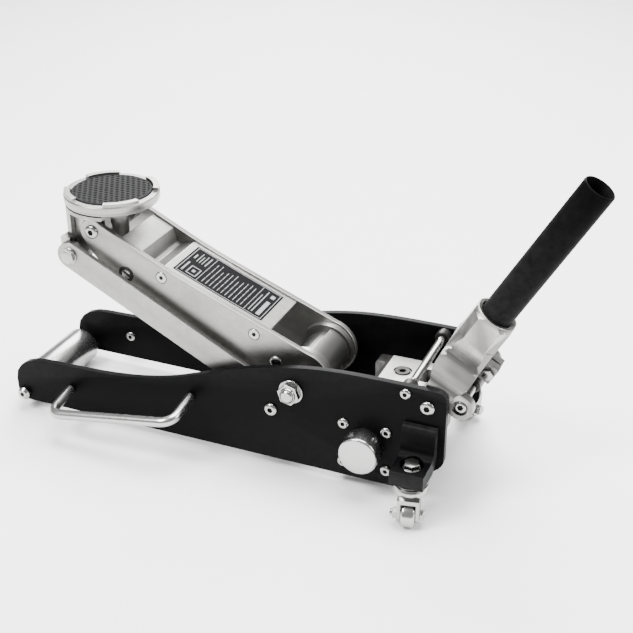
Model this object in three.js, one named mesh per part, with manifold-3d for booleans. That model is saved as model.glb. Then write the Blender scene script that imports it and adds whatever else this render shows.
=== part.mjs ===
// A low-profile aluminium trolley jack: black side plates on a front roller and two rear casters,
// a parallelogram lift arm with a round saddle, a hydraulic unit and a short pump handle.
// Millimetres, +Z up, +X towards the handle, near side at -Y. The floor is z = 0.

import * as THREE from 'three';
import { mergeVertices } from 'three/addons/utils/BufferGeometryUtils.js';
import Module from 'manifold-3d';

const wasm = await Module();
wasm.setup();

// ---------------------------------------------------------------- driving dimensions
const GAP = 0.3; // between pieces that touch or seat
const RUN = 0.25; // radial clearance of anything that turns
const FACETS = 24; // round a shaft
const SIDES = [
  { name: 'near', s: -1 },
  { name: 'far', s: 1 },
];

const plateOuter = 62.5; // centre plane to a side plate's outer face
const plateT = 6.5;
const plateInner = plateOuter - plateT;
const plateBottom = 11.5;
const plateTop = 122.5;
const rearX = 453.5;

const rollerR = 19.5;
const rollerHalf = 49;
const rollerAxleR = 6;
const axleHeadR = 7;

const pivotX = 303.5; // main pivot of the lift arm
const pivotZ = 91;
const pivotR = 10;
const pivotThreadR = 6.5;
const bushR = 13.2;
const armLength = 248;
const restAngle = 27.5; // arm above level in the stored pose, degrees
const armOuter = 37.8;
const armT = 6;
const armInner = armOuter - armT;
const armHeelR = 28.5;
const armToeR = 13;
const stowedAngle = -7.7; // arm with the saddle lowest, degrees above level
const toeBoltR = 5;

const linkDX = -21; // link pivots from the arm pivots
const linkDZ = -24.5;
const linkHalfW = 13.5;
const linkInner = 43.2;
const linkT = 5.5;
const linkPinR = 5;

const saddleDX = 2.4; // saddle axis behind the arm's toe pivot
const saddleR = 47;
const cupFloorZ = 19.6; // above the toe pivot
const cupFloorT = 3.6;
const rimLowZ = 30;
const rimHighZ = 33.2;
const rimWall = 7;
const padTopZ = 31.2;
const stemR = 8;

const ramZ = 49; // axis of the hydraulic ram
const ramRodR = 10;
const ramWall = 11;
const leverR = 48; // main pivot to the ram pin
const leverMid = 32.6; // arm angle at which the ram pin hangs straight below, degrees
const ramPinR = 7;
const pistonTail = 392;
const ramSlack = 1.7; // play of the ram pin in the slot of the piston rod's head
const blockFront = 366;
const blockRear = 426;
const blockTop = 99;
const blockBottom = 17;
const cylinderFront = 351;
const earFront = 350; // the block's side ears, which carry the front side screws
const earInner = 40;
const blockHalf = 25; // half the block's width above its screws

const capX = 377.5; // round end caps of the hydraulic unit
const capZ = 49.5;
const capR = 19;
const capReach = 21;

const tieX = 415;
const tieZ = 114.5;
const tieR = 4;
const spacerR = 7.5;

const socketX = 436; // pump pivot of the handle socket
const socketZ = 104.5;
const handleLean = 30.1; // handle from upright in the stored pose, degrees
const tubeR = 15;
const tubeWall = 2;
const tubeEnd = 237; // pump pivot to the end of the tube
const tubeStart = 24;
const mouthAt = 84; // pump pivot to the socket's mouth
const shoulderAt = 19;
const socketFlat = 19.5; // socket axis to its flats
const cheekOuter = plateInner - 1;
const camArm = 20; // pump pivot to the cam roller
const camR = 6;
const camMidLean = 38.6; // handle lean at which the cam roller hangs straight below, degrees
const plungerR = 7;
const plungerZ = socketZ - camArm;
const camPinR = 2.5;
const camHalf = plungerR + 0.4; // half the gap between the cam roller's lugs
const crossX = 23.25; // rod through the socket's rear lobes, from the pump pivot
const crossZ = 11.74;
const crossR = 4;
const crossHeadR = 6.5;
const crossRollerR = 7;
const cheekInner = 41;
const lobeOuter = 50;
const lobeR = 12;
const cheekR = 13;
const barrelR = 9.5;
const clampR = 3;
const drive = 4.6; // half the square way of the release drive through the socket
const plungerTail = 401.5;
const plungerFace = 432;
const pocketFront = 412; // the block's pocket for the plunger and the cam roller
const valveZ = 68;
const valveR = 4;
const plugX = 391.5;
const plugR = 6;
const plugDeep = 4.5;

const handleFrontX = 58; // side handle mounts on a plate
const handleFrontZ = 37.5;
const handleRearX = 197;
const handleRearZ = 61;
const handleReach = 41;
const handleDroop = 7;
const handleRodR = 5;
const handleBend = 17;

const casterX = 431;
const casterY = plateOuter + 23.8;
const bracketBottom = 43;
const padTop = 57;
const bracketTop = 86;
const bracketReach = 40;
const bracketHalfW = 16;
const raceR = 16.3;
const forkTop = 37;
const crownUnder = 27.2;
const swivelR = 4;
const wheelR = 12.5;
const wheelHalf = 6.5;
const trail = 12;
const casterHeading = 12; // trail direction from straight outwards, towards the rear, degrees
const forkT = 3;
const casterAxleR = 3;

const deg = (d) => THREE.MathUtils.degToRad(d);

// ---------------------------------------------------------------- materials
const paint = (name, color, roughness, metalness) =>
  new THREE.MeshStandardMaterial({ name, color, roughness, metalness });
const BLACK = paint('black_coat', 0x1d1d1e, 0.45, 0.2);
const ALLOY = paint('cast_alloy', 0xc4c5c3, 0.42, 0.9);
const STEEL = paint('polished_steel', 0xd8d8d6, 0.16, 1.0);
const ZINC = paint('zinc', 0xb9bcc0, 0.35, 0.95);
const RUBBER = paint('rubber', 0x2b2b2c, 0.85, 0.0);
const DARK = paint('dark_steel', 0x35352f, 0.5, 0.7);
const TUBE = paint('tube_coat', 0x141414, 0.6, 0.1);

// ---------------------------------------------------------------- solids
function solid(geometry) {
  const bare = geometry.clone();
  bare.deleteAttribute('normal');
  bare.deleteAttribute('uv');
  const merged = mergeVertices(bare, 1e-3);
  const at = merged.attributes.position.array;
  const index = merged.index.array;
  const kept = [];
  let volume = 0;
  const corner = [new THREE.Vector3(), new THREE.Vector3(), new THREE.Vector3()];
  for (let i = 0; i < index.length; i += 3) {
    const [a, b, c] = [index[i], index[i + 1], index[i + 2]];
    if (a === b || b === c || a === c) continue;
    kept.push(a, b, c);
    [a, b, c].forEach((v, k) => corner[k].fromArray(at, 3 * v));
    volume += corner[0].dot(corner[1].clone().cross(corner[2]));
  }
  const triVerts = new Uint32Array(kept);
  if (volume < 0) triVerts.reverse();
  return new wasm.Manifold(new wasm.Mesh({ numProp: 3, vertProperties: new Float32Array(at), triVerts }));
}

function geometryOf(body) {
  const mesh = body.getMesh();
  const geometry = new THREE.BufferGeometry();
  geometry.setAttribute('position', new THREE.BufferAttribute(new Float32Array(mesh.vertProperties), 3));
  geometry.setIndex(new THREE.BufferAttribute(new Uint32Array(mesh.triVerts), 1));
  const flat = geometry.toNonIndexed();
  flat.computeVertexNormals();
  return flat;
}

function put(group, name, body, material) {
  const mesh = new THREE.Mesh(geometryOf(body), material);
  mesh.name = name;
  group.add(mesh);
  return mesh;
}

const sum = (first, ...rest) => rest.reduce((all, next) => all.add(next), first);
const cut = (first, ...rest) => rest.reduce((left, next) => left.subtract(next), first);

// a box from its lowest to its highest corner
function box(x0, x1, y0, y1, z0, z1) {
  const geometry = new THREE.BoxGeometry(x1 - x0, y1 - y0, z1 - z0);
  return solid(geometry.translate((x0 + x1) / 2, (y0 + y1) / 2, (z0 + z1) / 2));
}

// a turned body from [radius, height] pairs that start and end on the axis
function turned(profile, facets = FACETS) {
  return new THREE.LatheGeometry(profile.map(([r, h]) => new THREE.Vector2(r, h)), facets);
}
const turnedY = (profile, x, z, facets) => solid(turned(profile, facets).translate(x, 0, z));
const turnedZ = (profile, x, y, facets) => solid(turned(profile, facets).rotateX(Math.PI / 2).translate(x, y, 0));
const turnedX = (profile, y, z, facets) => solid(turned(profile, facets).rotateZ(-Math.PI / 2).translate(0, y, z));

const rod = (r, h0, h1) => [[0, h0], [r, h0], [r, h1], [0, h1]];
const pinY = (x, z, r, y0, y1, facets) => turnedY(rod(r, y0, y1), x, z, facets);
const pinZ = (x, y, r, z0, z1, facets) => turnedZ(rod(r, z0, z1), x, y, facets);
const pinX = (y, z, r, x0, x1, facets) => turnedX(rod(r, x0, x1), y, z, facets);
const between = (s, a, b) => (s < 0 ? [-b, -a] : [a, b]);

// a slab cut from an outline in x and z, between two heights along y
function slabXZ(shape, y0, y1, curveSegments = 6) {
  const geometry = new THREE.ExtrudeGeometry(shape, { depth: y1 - y0, bevelEnabled: false, curveSegments });
  return solid(geometry.rotateX(Math.PI / 2).translate(0, y1, 0));
}

// a bar whose section lies in y and z, between two places along x
function barYZ(shape, x0, x1, curveSegments = 6) {
  const geometry = new THREE.ExtrudeGeometry(shape, { depth: x1 - x0, bevelEnabled: false, curveSegments });
  return solid(geometry.rotateX(Math.PI / 2).rotateZ(Math.PI / 2).translate(x0, 0, 0));
}

function slabXY(shape, z0, z1, curveSegments = 8) {
  const geometry = new THREE.ExtrudeGeometry(shape, { depth: z1 - z0, bevelEnabled: false, curveSegments });
  return solid(geometry.translate(0, 0, z0));
}

function hexY(x, z, acrossFlats, y0, y1) {
  return pinY(x, z, acrossFlats / Math.sqrt(3), y0, y1, 6);
}

// a round-ended bar between two points, its two ends of any radius
function taperBar(xa, za, ra, xb, zb, rb) {
  const way = Math.atan2(zb - za, xb - xa);
  const lean = Math.acos((ra - rb) / Math.hypot(xb - xa, zb - za));
  const shape = new THREE.Shape();
  shape.absarc(xa, za, ra, way + lean, way - lean + 2 * Math.PI, false);
  shape.absarc(xb, zb, rb, way - lean, way + lean, false);
  shape.closePath();
  return shape;
}

function outline(points) {
  return new THREE.Shape(points.map(([x, z]) => new THREE.Vector2(x, z)));
}

function frameAt(parent, x, z, turnY = 0, y = 0, turnZ = 0) {
  const group = new THREE.Group();
  group.position.set(x, y, z);
  group.rotation.set(0, deg(turnY), deg(turnZ), 'ZYX');
  parent.add(group);
  return group;
}

// ---------------------------------------------------------------- chassis
const linkX = pivotX + linkDX;
const linkZ = pivotZ + linkDZ;

function sidePlateShape() {
  const shape = new THREE.Shape();
  shape.moveTo(-3, plateBottom);
  shape.lineTo(412, plateBottom);
  shape.lineTo(rearX - 7, 40);
  shape.quadraticCurveTo(rearX, 45, rearX, 53);
  shape.lineTo(rearX, plateTop - 10);
  shape.quadraticCurveTo(rearX, plateTop - 0.5, rearX - 10, plateTop - 0.3);
  shape.splineThru(
    [[406, 0], [356, -0.8], [318, -4.2], [276, -12.6], [240, -23], [205, -36], [172, -47.3], [140, -54.2],
      [105, -58.2], [65, -60], [28, -60.8]].map(([x, drop]) => new THREE.Vector2(x, plateTop + drop)),
  );
  shape.bezierCurveTo(8, 61.5, -8.5, 52, -8.7, 35);
  shape.quadraticCurveTo(-8.8, 24, -7.6, 16);
  shape.quadraticCurveTo(-7, plateBottom, -3, plateBottom);
  return shape;
}

function sidePlate(s) {
  const [y0, y1] = between(s, plateInner, plateOuter);
  const reach = [y0 - 1, y1 + 1];
  return cut(
    slabXZ(sidePlateShape(), y0, y1, 5),
    pinY(0, rollerR, rollerAxleR + GAP, ...reach, 18),
    pinY(pivotX, pivotZ, pivotR + GAP, ...reach),
    pinY(linkX, linkZ, linkPinR + GAP, ...reach, 18),
    pinY(tieX, tieZ, tieR + GAP, ...reach, 14),
    pinY(socketX, socketZ, 6 + GAP, ...reach, 18),
    pinY(capX, capZ, capR - 3 + GAP, ...reach),
  );
}

function rollerAxle() {
  const face = plateOuter + GAP;
  const collar = [[rollerAxleR, -plateInner + GAP], [11, -plateInner + GAP], [11, -rollerHalf - GAP]];
  const mirror = collar.map(([r, h]) => [r, -h]).reverse();
  const head = [[0, -face - 6], [4.5, -face - 6], [axleHeadR, -face - 3.5], [axleHeadR, -face]];
  const tail = head.map(([r, h]) => [r, -h]).reverse();
  return turnedY(
    [...head, [rollerAxleR, -face], ...collar, [rollerAxleR, -rollerHalf - GAP],
      [rollerAxleR, rollerHalf + GAP], ...mirror, [rollerAxleR, face], ...tail],
    0, rollerR, 18,
  );
}

function frontRoller() {
  const soft = 2.5;
  const outside = [[rollerR - soft, -rollerHalf], [rollerR, -rollerHalf + soft], [rollerR, rollerHalf - soft],
    [rollerR - soft, rollerHalf]];
  const bore = rollerAxleR + RUN;
  return turnedY([[bore, -rollerHalf], ...outside, [bore, rollerHalf], [bore, -rollerHalf]], 0, rollerR, 28);
}

// one bent round rod, standing off the plate and drooping a little, its ends against the plate
function sideHandle(s) {
  const slope = handleDroop / handleReach;
  const foot = plateOuter + GAP + handleRodR * slope;
  const at = (x, z, reach) => new THREE.Vector3(x, s * reach, z - (reach - plateOuter) * slope);
  const far = plateOuter + handleReach;
  const front = at(handleFrontX, handleFrontZ, foot);
  const frontCorner = at(handleFrontX, handleFrontZ, far);
  const rearCorner = at(handleRearX, handleRearZ, far);
  const rear = at(handleRearX, handleRearZ, foot);
  const towards = (from, to) => from.clone().addScaledVector(to.clone().sub(from).normalize(), handleBend);
  const path = new THREE.CurvePath();
  let last = front;
  [[front, frontCorner, rearCorner], [frontCorner, rearCorner, rear]].forEach(([before, corner, after]) => {
    const bendStart = towards(corner, before);
    const bendEnd = towards(corner, after);
    path.add(new THREE.LineCurve3(last, bendStart));
    path.add(new THREE.QuadraticBezierCurve3(bendStart, corner, bendEnd));
    last = bendEnd;
  });
  path.add(new THREE.LineCurve3(last, rear));
  const ring = new THREE.Shape();
  ring.absarc(0, 0, handleRodR, 0, 2 * Math.PI);
  return solid(new THREE.ExtrudeGeometry(ring, { extrudePath: path, steps: 30, curveSegments: 6 }));
}

function pivotShaft() {
  const face = plateOuter + GAP;
  const r = pivotThreadR;
  const tip = (s) => [[pivotR, s * face], [r, s * (face + 1)], [r, s * (face + 11)], [r - 1.5, s * (face + 12.5)],
    [0, s * (face + 12.5)]];
  return turnedY([...tip(-1).reverse(), ...tip(1)], pivotX, pivotZ);
}

function pivotNut(s) {
  const [y0, y1] = between(s, plateOuter + GAP + 1.3, plateOuter + GAP + 9.3);
  return cut(hexY(pivotX, pivotZ, 19, y0, y1), pinY(pivotX, pivotZ, pivotThreadR + GAP, y0 - 1, y1 + 1));
}

// spacer ring between the arm and a side plate, on the main pivot
function pivotBush(s) {
  const [y0, y1] = between(s, armOuter + GAP, plateInner - GAP);
  return cut(pinY(pivotX, pivotZ, bushR, y0, y1), pinY(pivotX, pivotZ, pivotR + GAP, y0 - 1, y1 + 1));
}

// shouldered screw through a plate, from its round head to its tip
function shoulderScrew(s, x, z, r, headR, tip) {
  const face = plateOuter + GAP;
  const profile = [[0, tip], [r, tip], [r, face], [headR, face], [headR, face + 1.5], [headR * 0.6, face + 4],
    [headR * 0.45, face + 4], [headR * 0.45, face + 1.6], [0, face + 1.6]];
  return turnedY(profile.map(([radius, h]) => [radius, s * h]), x, z, 18);
}

function tieRod() {
  const face = plateOuter + GAP;
  const head = [[0, face + 1.2], [2.2, face + 1.2], [2.2, face + 3.2], [3.2, face + 3.2], [5.3, face + 1.2],
    [5.3, face], [tieR, face]];
  const start = head.map(([r, h]) => [r, -h]);
  return turnedY([...start, ...head.reverse()], tieX, tieZ, 14);
}

function tieSpacer(s) {
  const [y0, y1] = between(s, plateInner - 10, plateInner - GAP);
  return cut(pinY(tieX, tieZ, spacerR, y0, y1, 18), pinY(tieX, tieZ, tieR + GAP, y0 - 1, y1 + 1, 18));
}

function pumpBlock() {
  const half = plateInner - GAP;
  const shape = outline([[blockFront, blockBottom], [blockRear, blockBottom], [blockRear, 74],
    [blockRear - 3, 78], [blockRear - 3, blockTop - 4], [blockRear - 7, blockTop], [blockFront + 8, blockTop],
    [blockFront, blockTop - 8]]);
  const ear = outline([[earFront, blockBottom], [blockFront + 1, blockBottom], [blockFront + 1, 82],
    [earFront + 4, 82], [earFront, 78]]);
  return cut(
    sum(slabXZ(shape, -half, half), slabXZ(ear, -half, -earInner), slabXZ(ear, earInner, half)),
    pinX(0, ramZ, ramRodR + GAP, blockFront - 1, blockRear - 5),
    pinX(0, plungerZ, plungerR + GAP, blockRear - 41, blockRear + 1, 18),
    box(pocketFront, blockRear + 1, -12, 12, valveZ + 6, blockTop + 1),
    pinX(0, valveZ, valveR + GAP, blockRear - 12, blockRear + 1, 18),
    pinZ(plugX, 0, plugR + 3, blockTop - 1.5, blockTop + 1, 18),
    pinZ(plugX, 0, plugR + GAP, blockTop - plugDeep, blockTop + 1, 18),
    ...SIDES.map(({ s }) => box(earFront - 1, blockRear + 1, ...between(s, blockHalf, half + 1), 80, blockTop + 1)),
  );
}

function fillerPlug() {
  const top = blockTop + 0.6;
  const bottom = blockTop - plugDeep + GAP;
  return cut(
    sum(pinZ(plugX, 0, plugR, bottom, top - 1, 18), pinZ(plugX, 0, plugR + 1.5, blockTop - 1.2, top, 18)),
    pinZ(plugX, 0, 3.2, top - 3, top + 1, 6),
  );
}

function ramCylinder() {
  const r = ramRodR + ramWall;
  return turnedX(
    [[ramRodR + GAP, cylinderFront], [r - 2, cylinderFront], [r, cylinderFront + 2], [r, blockFront - GAP],
      [ramRodR + GAP, blockFront - GAP], [ramRodR + GAP, cylinderFront]],
    0, ramZ, 26,
  );
}

function endCap(s) {
  const neck = capR - 3;
  const face = plateOuter + capReach;
  const profile = [[0, plateInner], [neck, plateInner], [neck, plateOuter + GAP], [capR, plateOuter + GAP],
    [capR, face - 1.5], [capR - 1.5, face], [0, face]].map(([r, h]) => [r, s * h]);
  return turnedY(profile, capX, capZ, 28);
}

const casterBracketShape = () => {
  const d = (out) => plateOuter + GAP + out;
  const shape = new THREE.Shape();
  shape.moveTo(d(0), bracketTop);
  shape.lineTo(d(3), bracketTop);
  shape.quadraticCurveTo(d(6.5), bracketTop, d(7.2), bracketTop - 5);
  shape.lineTo(d(8), padTop + 12);
  shape.quadraticCurveTo(d(9), padTop + 2, d(18), padTop + 0.8);
  shape.lineTo(d(bracketReach - 1), padTop);
  shape.lineTo(d(bracketReach), padTop - 1);
  shape.lineTo(d(bracketReach), bracketBottom);
  shape.lineTo(d(15), bracketBottom);
  shape.quadraticCurveTo(d(8), bracketBottom, d(4), bracketBottom + 6);
  shape.lineTo(d(0), bracketBottom + 12);
  shape.closePath();
  return shape;
};

function casterBracket(s) {
  const body = barYZ(casterBracketShape(), casterX - bracketHalfW, casterX + bracketHalfW);
  const bored = cut(
    body,
    pinZ(casterX, casterY, 11, padTop - 6, padTop + 20, 20),
    pinZ(casterX, casterY, 4 + GAP, bracketBottom - 1, padTop, 18),
  );
  return s < 0 ? bored.mirror([0, 1, 0]) : bored;
}

function casterBolt(s) {
  const y = s * casterY;
  const seat = padTop - 6 + GAP;
  return sum(
    pinZ(casterX, y, 6.2, crownUnder - GAP - 2, crownUnder - GAP, 18),
    pinZ(casterX, y, 4, crownUnder - 1, seat + 1, 14),
    pinZ(casterX, y, 8.6, seat, seat + 1.6, 18),
    pinZ(casterX, y, 13 / Math.sqrt(3), seat + 1.5, seat + 9, 6),
  );
}

function casterRace(s) {
  const bore = 4 + GAP;
  return turnedZ(
    [[bore, forkTop + GAP], [raceR - 1, forkTop + GAP], [raceR, forkTop + 1.2], [raceR, forkTop + 2],
      [raceR - 2.5, forkTop + 2.6], [raceR - 2.5, bracketBottom - GAP], [bore, bracketBottom - GAP],
      [bore, forkTop + GAP]],
    casterX, s * casterY, 26,
  );
}

// ---------------------------------------------------------------- casters
// in the swivel's frame: the axis is z, and the wheel trails along -x
function casterFork() {
  const gap = wheelHalf + 0.6;
  const forkBack = -trail - 8;
  const crown = turnedZ(
    [[4 + RUN, crownUnder], [raceR - 3, crownUnder], [raceR, crownUnder + 4], [raceR, forkTop - 2],
      [raceR - 1, forkTop], [10, forkTop], [10, forkTop - 6], [4 + RUN, forkTop - 6], [4 + RUN, crownUnder]],
    0, 0, 26,
  );
  const cheek = (y0) => {
    const shape = new THREE.Shape();
    shape.moveTo(forkBack, crownUnder + 2);
    shape.lineTo(8, crownUnder + 2);
    shape.lineTo(-trail + 7, wheelR - 3);
    shape.absarc(-trail, wheelR, 7.4, -0.4, Math.PI + 0.3, true);
    shape.closePath();
    return slabXZ(shape, y0, y0 + forkT);
  };
  const bridge = box(forkBack, 6, -gap - forkT, gap + forkT, crownUnder, crownUnder + 4);
  const body = sum(crown, bridge, cheek(-gap - forkT), cheek(gap));
  return cut(
    body,
    pinZ(0, 0, 4 + RUN, crownUnder - 1, forkTop + 1, 18),
    pinY(-trail, wheelR, casterAxleR + GAP, -gap - 9, gap + 9, 14),
  );
}

function casterAxle(s) {
  const face = wheelHalf + 0.6 + forkT + GAP;
  return sum(
    pinY(-trail, wheelR, casterAxleR, ...between(-s, -face - 0.5, face + 6.5), 14),
    hexY(-trail, wheelR, 9.4, -face - 4, -face),
    hexY(-trail, wheelR, 9.4, face, face + 4),
  );
}

function casterWheel() {
  const bore = casterAxleR + RUN;
  return turnedY(
    [[bore, -wheelHalf], [wheelR - 3, -wheelHalf], [wheelR - 0.8, -wheelHalf + 1.2], [wheelR, -wheelHalf + 3],
      [wheelR, wheelHalf - 3], [wheelR - 0.8, wheelHalf - 1.2], [wheelR - 3, wheelHalf], [bore, wheelHalf],
      [bore, -wheelHalf]],
    -trail, wheelR, 24,
  );
}

// ---------------------------------------------------------------- lift arm
const ramPinAt = new THREE.Vector2(leverR * Math.sin(deg(leverMid)), -leverR * Math.cos(deg(leverMid)));

// in the arm's frame: the main pivot is the origin and the toe pivot is at x = -armLength
function armPlate(s) {
  const shape = new THREE.Shape();
  shape.absarc(0, 0, armHeelR, -Math.PI / 2, deg(104), false);
  shape.splineThru([[-80, 20.4], [-160, 13.6], [-235, 12.2]].map(([x, z]) => new THREE.Vector2(x, z)));
  shape.absarc(-armLength, 0, armToeR, deg(75), deg(235), false);
  shape.bezierCurveTo(-244, -19, -232, -24, -218, -26);
  shape.lineTo(-190, -27);
  shape.closePath();
  const [y0, y1] = between(s, armInner, armOuter);
  return cut(
    slabXZ(shape, y0, y1, 10),
    pinY(0, 0, pivotR + RUN, y0 - 1, y1 + 1),
    pinY(-armLength, 0, toeBoltR + GAP, y0 - 1, y1 + 1, 18),
  );
}

// the folded top between the arm plates, with the V-shaped trough before the saddle
function armTop() {
  const half = armInner - GAP;
  const upper = [[-50, 21.6], [-110, 16], [-170, 11.4], [-181, 1], [-186, 1], [-196, 10.4], [-221, 10]];
  const lower = [[-221, 5.5], [-198, 5.6], [-187, -3.5], [-180, -3.5], [-168, 6.6], [-110, 11.4], [-50, 16.5]];
  const shape = outline([...upper, ...lower].reverse());
  const bossRoom = pinY(-armLength, 0, 26.5, -half - 1, half + 1, 28);
  return cut(slabXZ(shape, -half, half), bossRoom);
}

// barrel on the main pivot with two cheeks, a rear web and the lever that the ram pushes
function armHub() {
  const half = armInner - GAP;
  const cheek = (s) => pinY(0, 0, armHeelR - 1.5, ...between(s, half - 8, half), 28);
  const lever = (s) => slabXZ(taperBar(0, 0, 20, ramPinAt.x, ramPinAt.y, 13), ...between(s, 13, 22), 10);
  const web = new THREE.Shape();
  web.absarc(0, 0, 25, deg(22), deg(106), false);
  web.lineTo(0, 0);
  web.closePath();
  const body = sum(
    pinY(0, 0, 20, -half, half, 28),
    cheek(-1),
    cheek(1),
    slabXZ(web, -half + 4, half - 4),
    lever(-1),
    lever(1),
  );
  return cut(
    body,
    pinY(0, 0, pivotR + RUN, -half - 1, half + 1),
    pinY(ramPinAt.x, ramPinAt.y, ramPinR + GAP, -half, half, 18),
  );
}

function ramPin() {
  const side = [[0, 25], [9, 25], [9, 22 + GAP], [ramPinR, 22 + GAP]];
  return turnedY([...side.map(([r, h]) => [r, -h]), ...side.reverse()], ramPinAt.x, ramPinAt.y, 18);
}

function toeBolt(s) {
  const face = armOuter + GAP;
  const r = toeBoltR;
  const profile = [[0, 21], [r, 21], [r, face], [r + 2, face], [r + 2, face + 1.2], [r, face + 3], [3, face + 3],
    [3, face + 1.2], [0, face + 1.2]].map(([radius, h]) => [radius, s * h]);
  return turnedY(profile, -armLength, 0, 18);
}

// ---------------------------------------------------------------- parallelogram links
// in the link's frame: the lower pivot is the origin and the upper one is at x = -armLength
function linkBar(s) {
  const [y0, y1] = between(s, linkInner, linkInner + linkT);
  return cut(
    slabXZ(taperBar(-armLength, 0, linkHalfW, 0, 0, linkHalfW), y0, y1, 12),
    pinY(0, 0, linkPinR + RUN, y0 - 1, y1 + 1, 18),
    pinY(-armLength, 0, linkPinR + RUN, y0 - 1, y1 + 1, 18),
  );
}

// ---------------------------------------------------------------- saddle bracket and saddle
// in the bracket's frame: the arm's toe pivot is the origin, and nothing turns with the arm
function saddleBracket() {
  const wallR = saddleR - 1;
  const deckZ = cupFloorZ - GAP;
  const lowest = deg(stowedAngle);
  const roller = [armLength * Math.cos(lowest) - pivotX, armLength * Math.sin(-lowest) + rollerR - pivotZ];
  const wall = cut(
    pinZ(saddleDX, 0, wallR, -38, deckZ, 44),
    pinZ(saddleDX, 0, wallR - 5, -39, deckZ + 1, 44),
    box(-22.5, 60, -60, 60, -40, deckZ + 1),
  );
  const deck = cut(pinZ(saddleDX, 0, wallR, deckZ - 3.6, deckZ, 44), box(16, 60, -60, 60, 0, 30));
  const boss = sum(
    pinZ(saddleDX, 0, 14.5, -16, deckZ, 26),
    pinZ(saddleDX, 0, 21, deckZ - 11, deckZ, 28),
    pinZ(saddleDX, 0, 29, deckZ - 3.6, deckZ, 32),
  );
  const cheek = (s) => {
    const [y0, y1] = between(s, 21.5, armInner - GAP - 0.2);
    const web = sum(box(-41, 0, y0, y1, -6, 13), box(-41, -9, y0, y1, -30, 0));
    const stay = web.intersect(pinZ(saddleDX, 0, wallR, -31, 20, 44));
    return sum(pinY(0, 0, 13.5, y0, y1, 24), stay, box(-12, 12, y0, y1, 0, deckZ - 1));
  };
  const linkFoot = (s) => {
    const outer = linkInner - 0.6;
    return sum(
      pinY(linkDX, linkDZ, 12, ...between(s, armOuter + 0.6, outer), 24),
      box(-33, -22.8, ...between(s, 28, outer), -36, -8),
    );
  };
  const body = sum(wall, deck, boss, cheek(-1), cheek(1), linkFoot(-1), linkFoot(1));
  return cut(
    body,
    pinZ(saddleDX, 0, stemR + RUN, -40, 40, 24),
    ...SIDES.flatMap(({ s }) => [
      pinY(0, 0, toeBoltR + GAP, ...between(s, 20.7, 60), 18),
      pinY(linkDX, linkDZ, linkPinR + GAP, ...between(s, armOuter + 0.3, 60), 18),
    ]),
    pinY(roller[0], roller[1], rollerR + 3, -60, 60, 34),
  );
}

function linkPin(s) {
  const out = linkInner + linkT + GAP;
  const inner = armOuter + 0.9;
  const shaft = pinY(linkDX, linkDZ, linkPinR, ...between(s, inner, out + 1), 18);
  return sum(shaft, hexY(linkDX, linkDZ, 13, ...between(s, out, out + 4.5)));
}

const rimArcs = 4;

function saddleCup() {
  const inner = saddleR - rimWall;
  const top = rimLowZ;
  const cup = turnedZ(
    [[0, -20.8], [stemR - 2, -20.8], [stemR - 2, -16.8], [stemR, -16.8], [stemR, cupFloorZ],
      [saddleR - 3, cupFloorZ],
      [saddleR - 1.5, cupFloorZ + 2.4], [saddleR, cupFloorZ + 3.2], [saddleR, top - 0.8], [saddleR - 0.8, top],
      [inner, top], [inner, cupFloorZ + cupFloorT], [0, cupFloorZ + cupFloorT]],
    saddleDX, 0, 44,
  );
  const sweep = Math.PI / rimArcs;
  const lugs = [...Array(rimArcs).keys()].map((k) => {
    const from = deg(20) + 2 * k * sweep;
    const shape = new THREE.Shape();
    shape.absarc(0, 0, saddleR - 0.6, from, from + sweep, false);
    shape.absarc(0, 0, inner, from + sweep, from, true);
    shape.closePath();
    return slabXY(shape, top - 1, rimHighZ, 10).translate([saddleDX, 0, 0]);
  });
  return sum(cup, ...lugs);
}

function saddlePad() {
  const r = saddleR - rimWall - GAP;
  const base = cupFloorZ + cupFloorT + GAP;
  return turnedZ([[0, base], [r, base], [r, padTopZ - 1.2], [r - 1.2, padTopZ], [0, padTopZ]], saddleDX, 0, 36);
}

function saddleClip() {
  const bore = stemR - 2 + GAP;
  return turnedZ([[bore, -19.6], [stemR + 3.5, -19.6], [stemR + 3.5, -17.7], [bore, -17.7], [bore, -19.6]],
    saddleDX, 0, 18);
}

// ---------------------------------------------------------------- hydraulics and pump
// in the arm's frame the ram pin turns with the arm; here it is the stored pose's place in the jack
const restPinX = pivotX + leverR * Math.sin(deg(leverMid - restAngle));

// the rod's head is a frame around the ram pin, so that the pin can rise and fall in it
function pistonRod() {
  const slot = ramPinR + ramSlack;
  const low = pivotZ - leverR - slot;
  const high = pivotZ - leverR * Math.cos(deg(leverMid - stowedAngle)) + slot;
  const shape = outline([[restPinX - slot - 6, low - 1], [restPinX - slot - 2, low - 5],
    [restPinX + slot + 2, low - 5], [restPinX + slot + 4.5, low - 2], [restPinX + slot + 4.5, high + 2],
    [restPinX + slot + 2, high + 4.5], [restPinX - slot - 2, high + 4.5], [restPinX - slot - 6, high + 0.5]]);
  return cut(
    sum(slabXZ(shape, -12, 12), pinX(0, ramZ, ramRodR, restPinX + slot + 3, pistonTail)),
    box(restPinX - slot, restPinX + slot, -13, 13, low, high),
  );
}

function pumpPlunger() {
  return turnedX(
    [[0, plungerTail], [plungerR, plungerTail], [plungerR, plungerFace - 0.8], [plungerR - 0.8, plungerFace],
      [0, plungerFace]],
    0, plungerZ, 20,
  );
}

function releaseValve() {
  const face = blockRear + GAP;
  return cut(
    turnedX([[0, face - 9], [valveR, face - 9], [valveR, face], [6.5, face], [6.5, face + 6], [5.5, face + 7],
      [0, face + 7]], 0, valveZ, 18),
    box(face + 4, face + 8, -1.2, 1.2, valveZ - 8, valveZ + 8),
  );
}

// ---------------------------------------------------------------- handle socket and tube
// in the socket's frame: the pump pivot is the origin and the tube runs along z
const camAt = new THREE.Vector2(camArm * Math.sin(deg(camMidLean)), -camArm * Math.cos(deg(camMidLean)));

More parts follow.
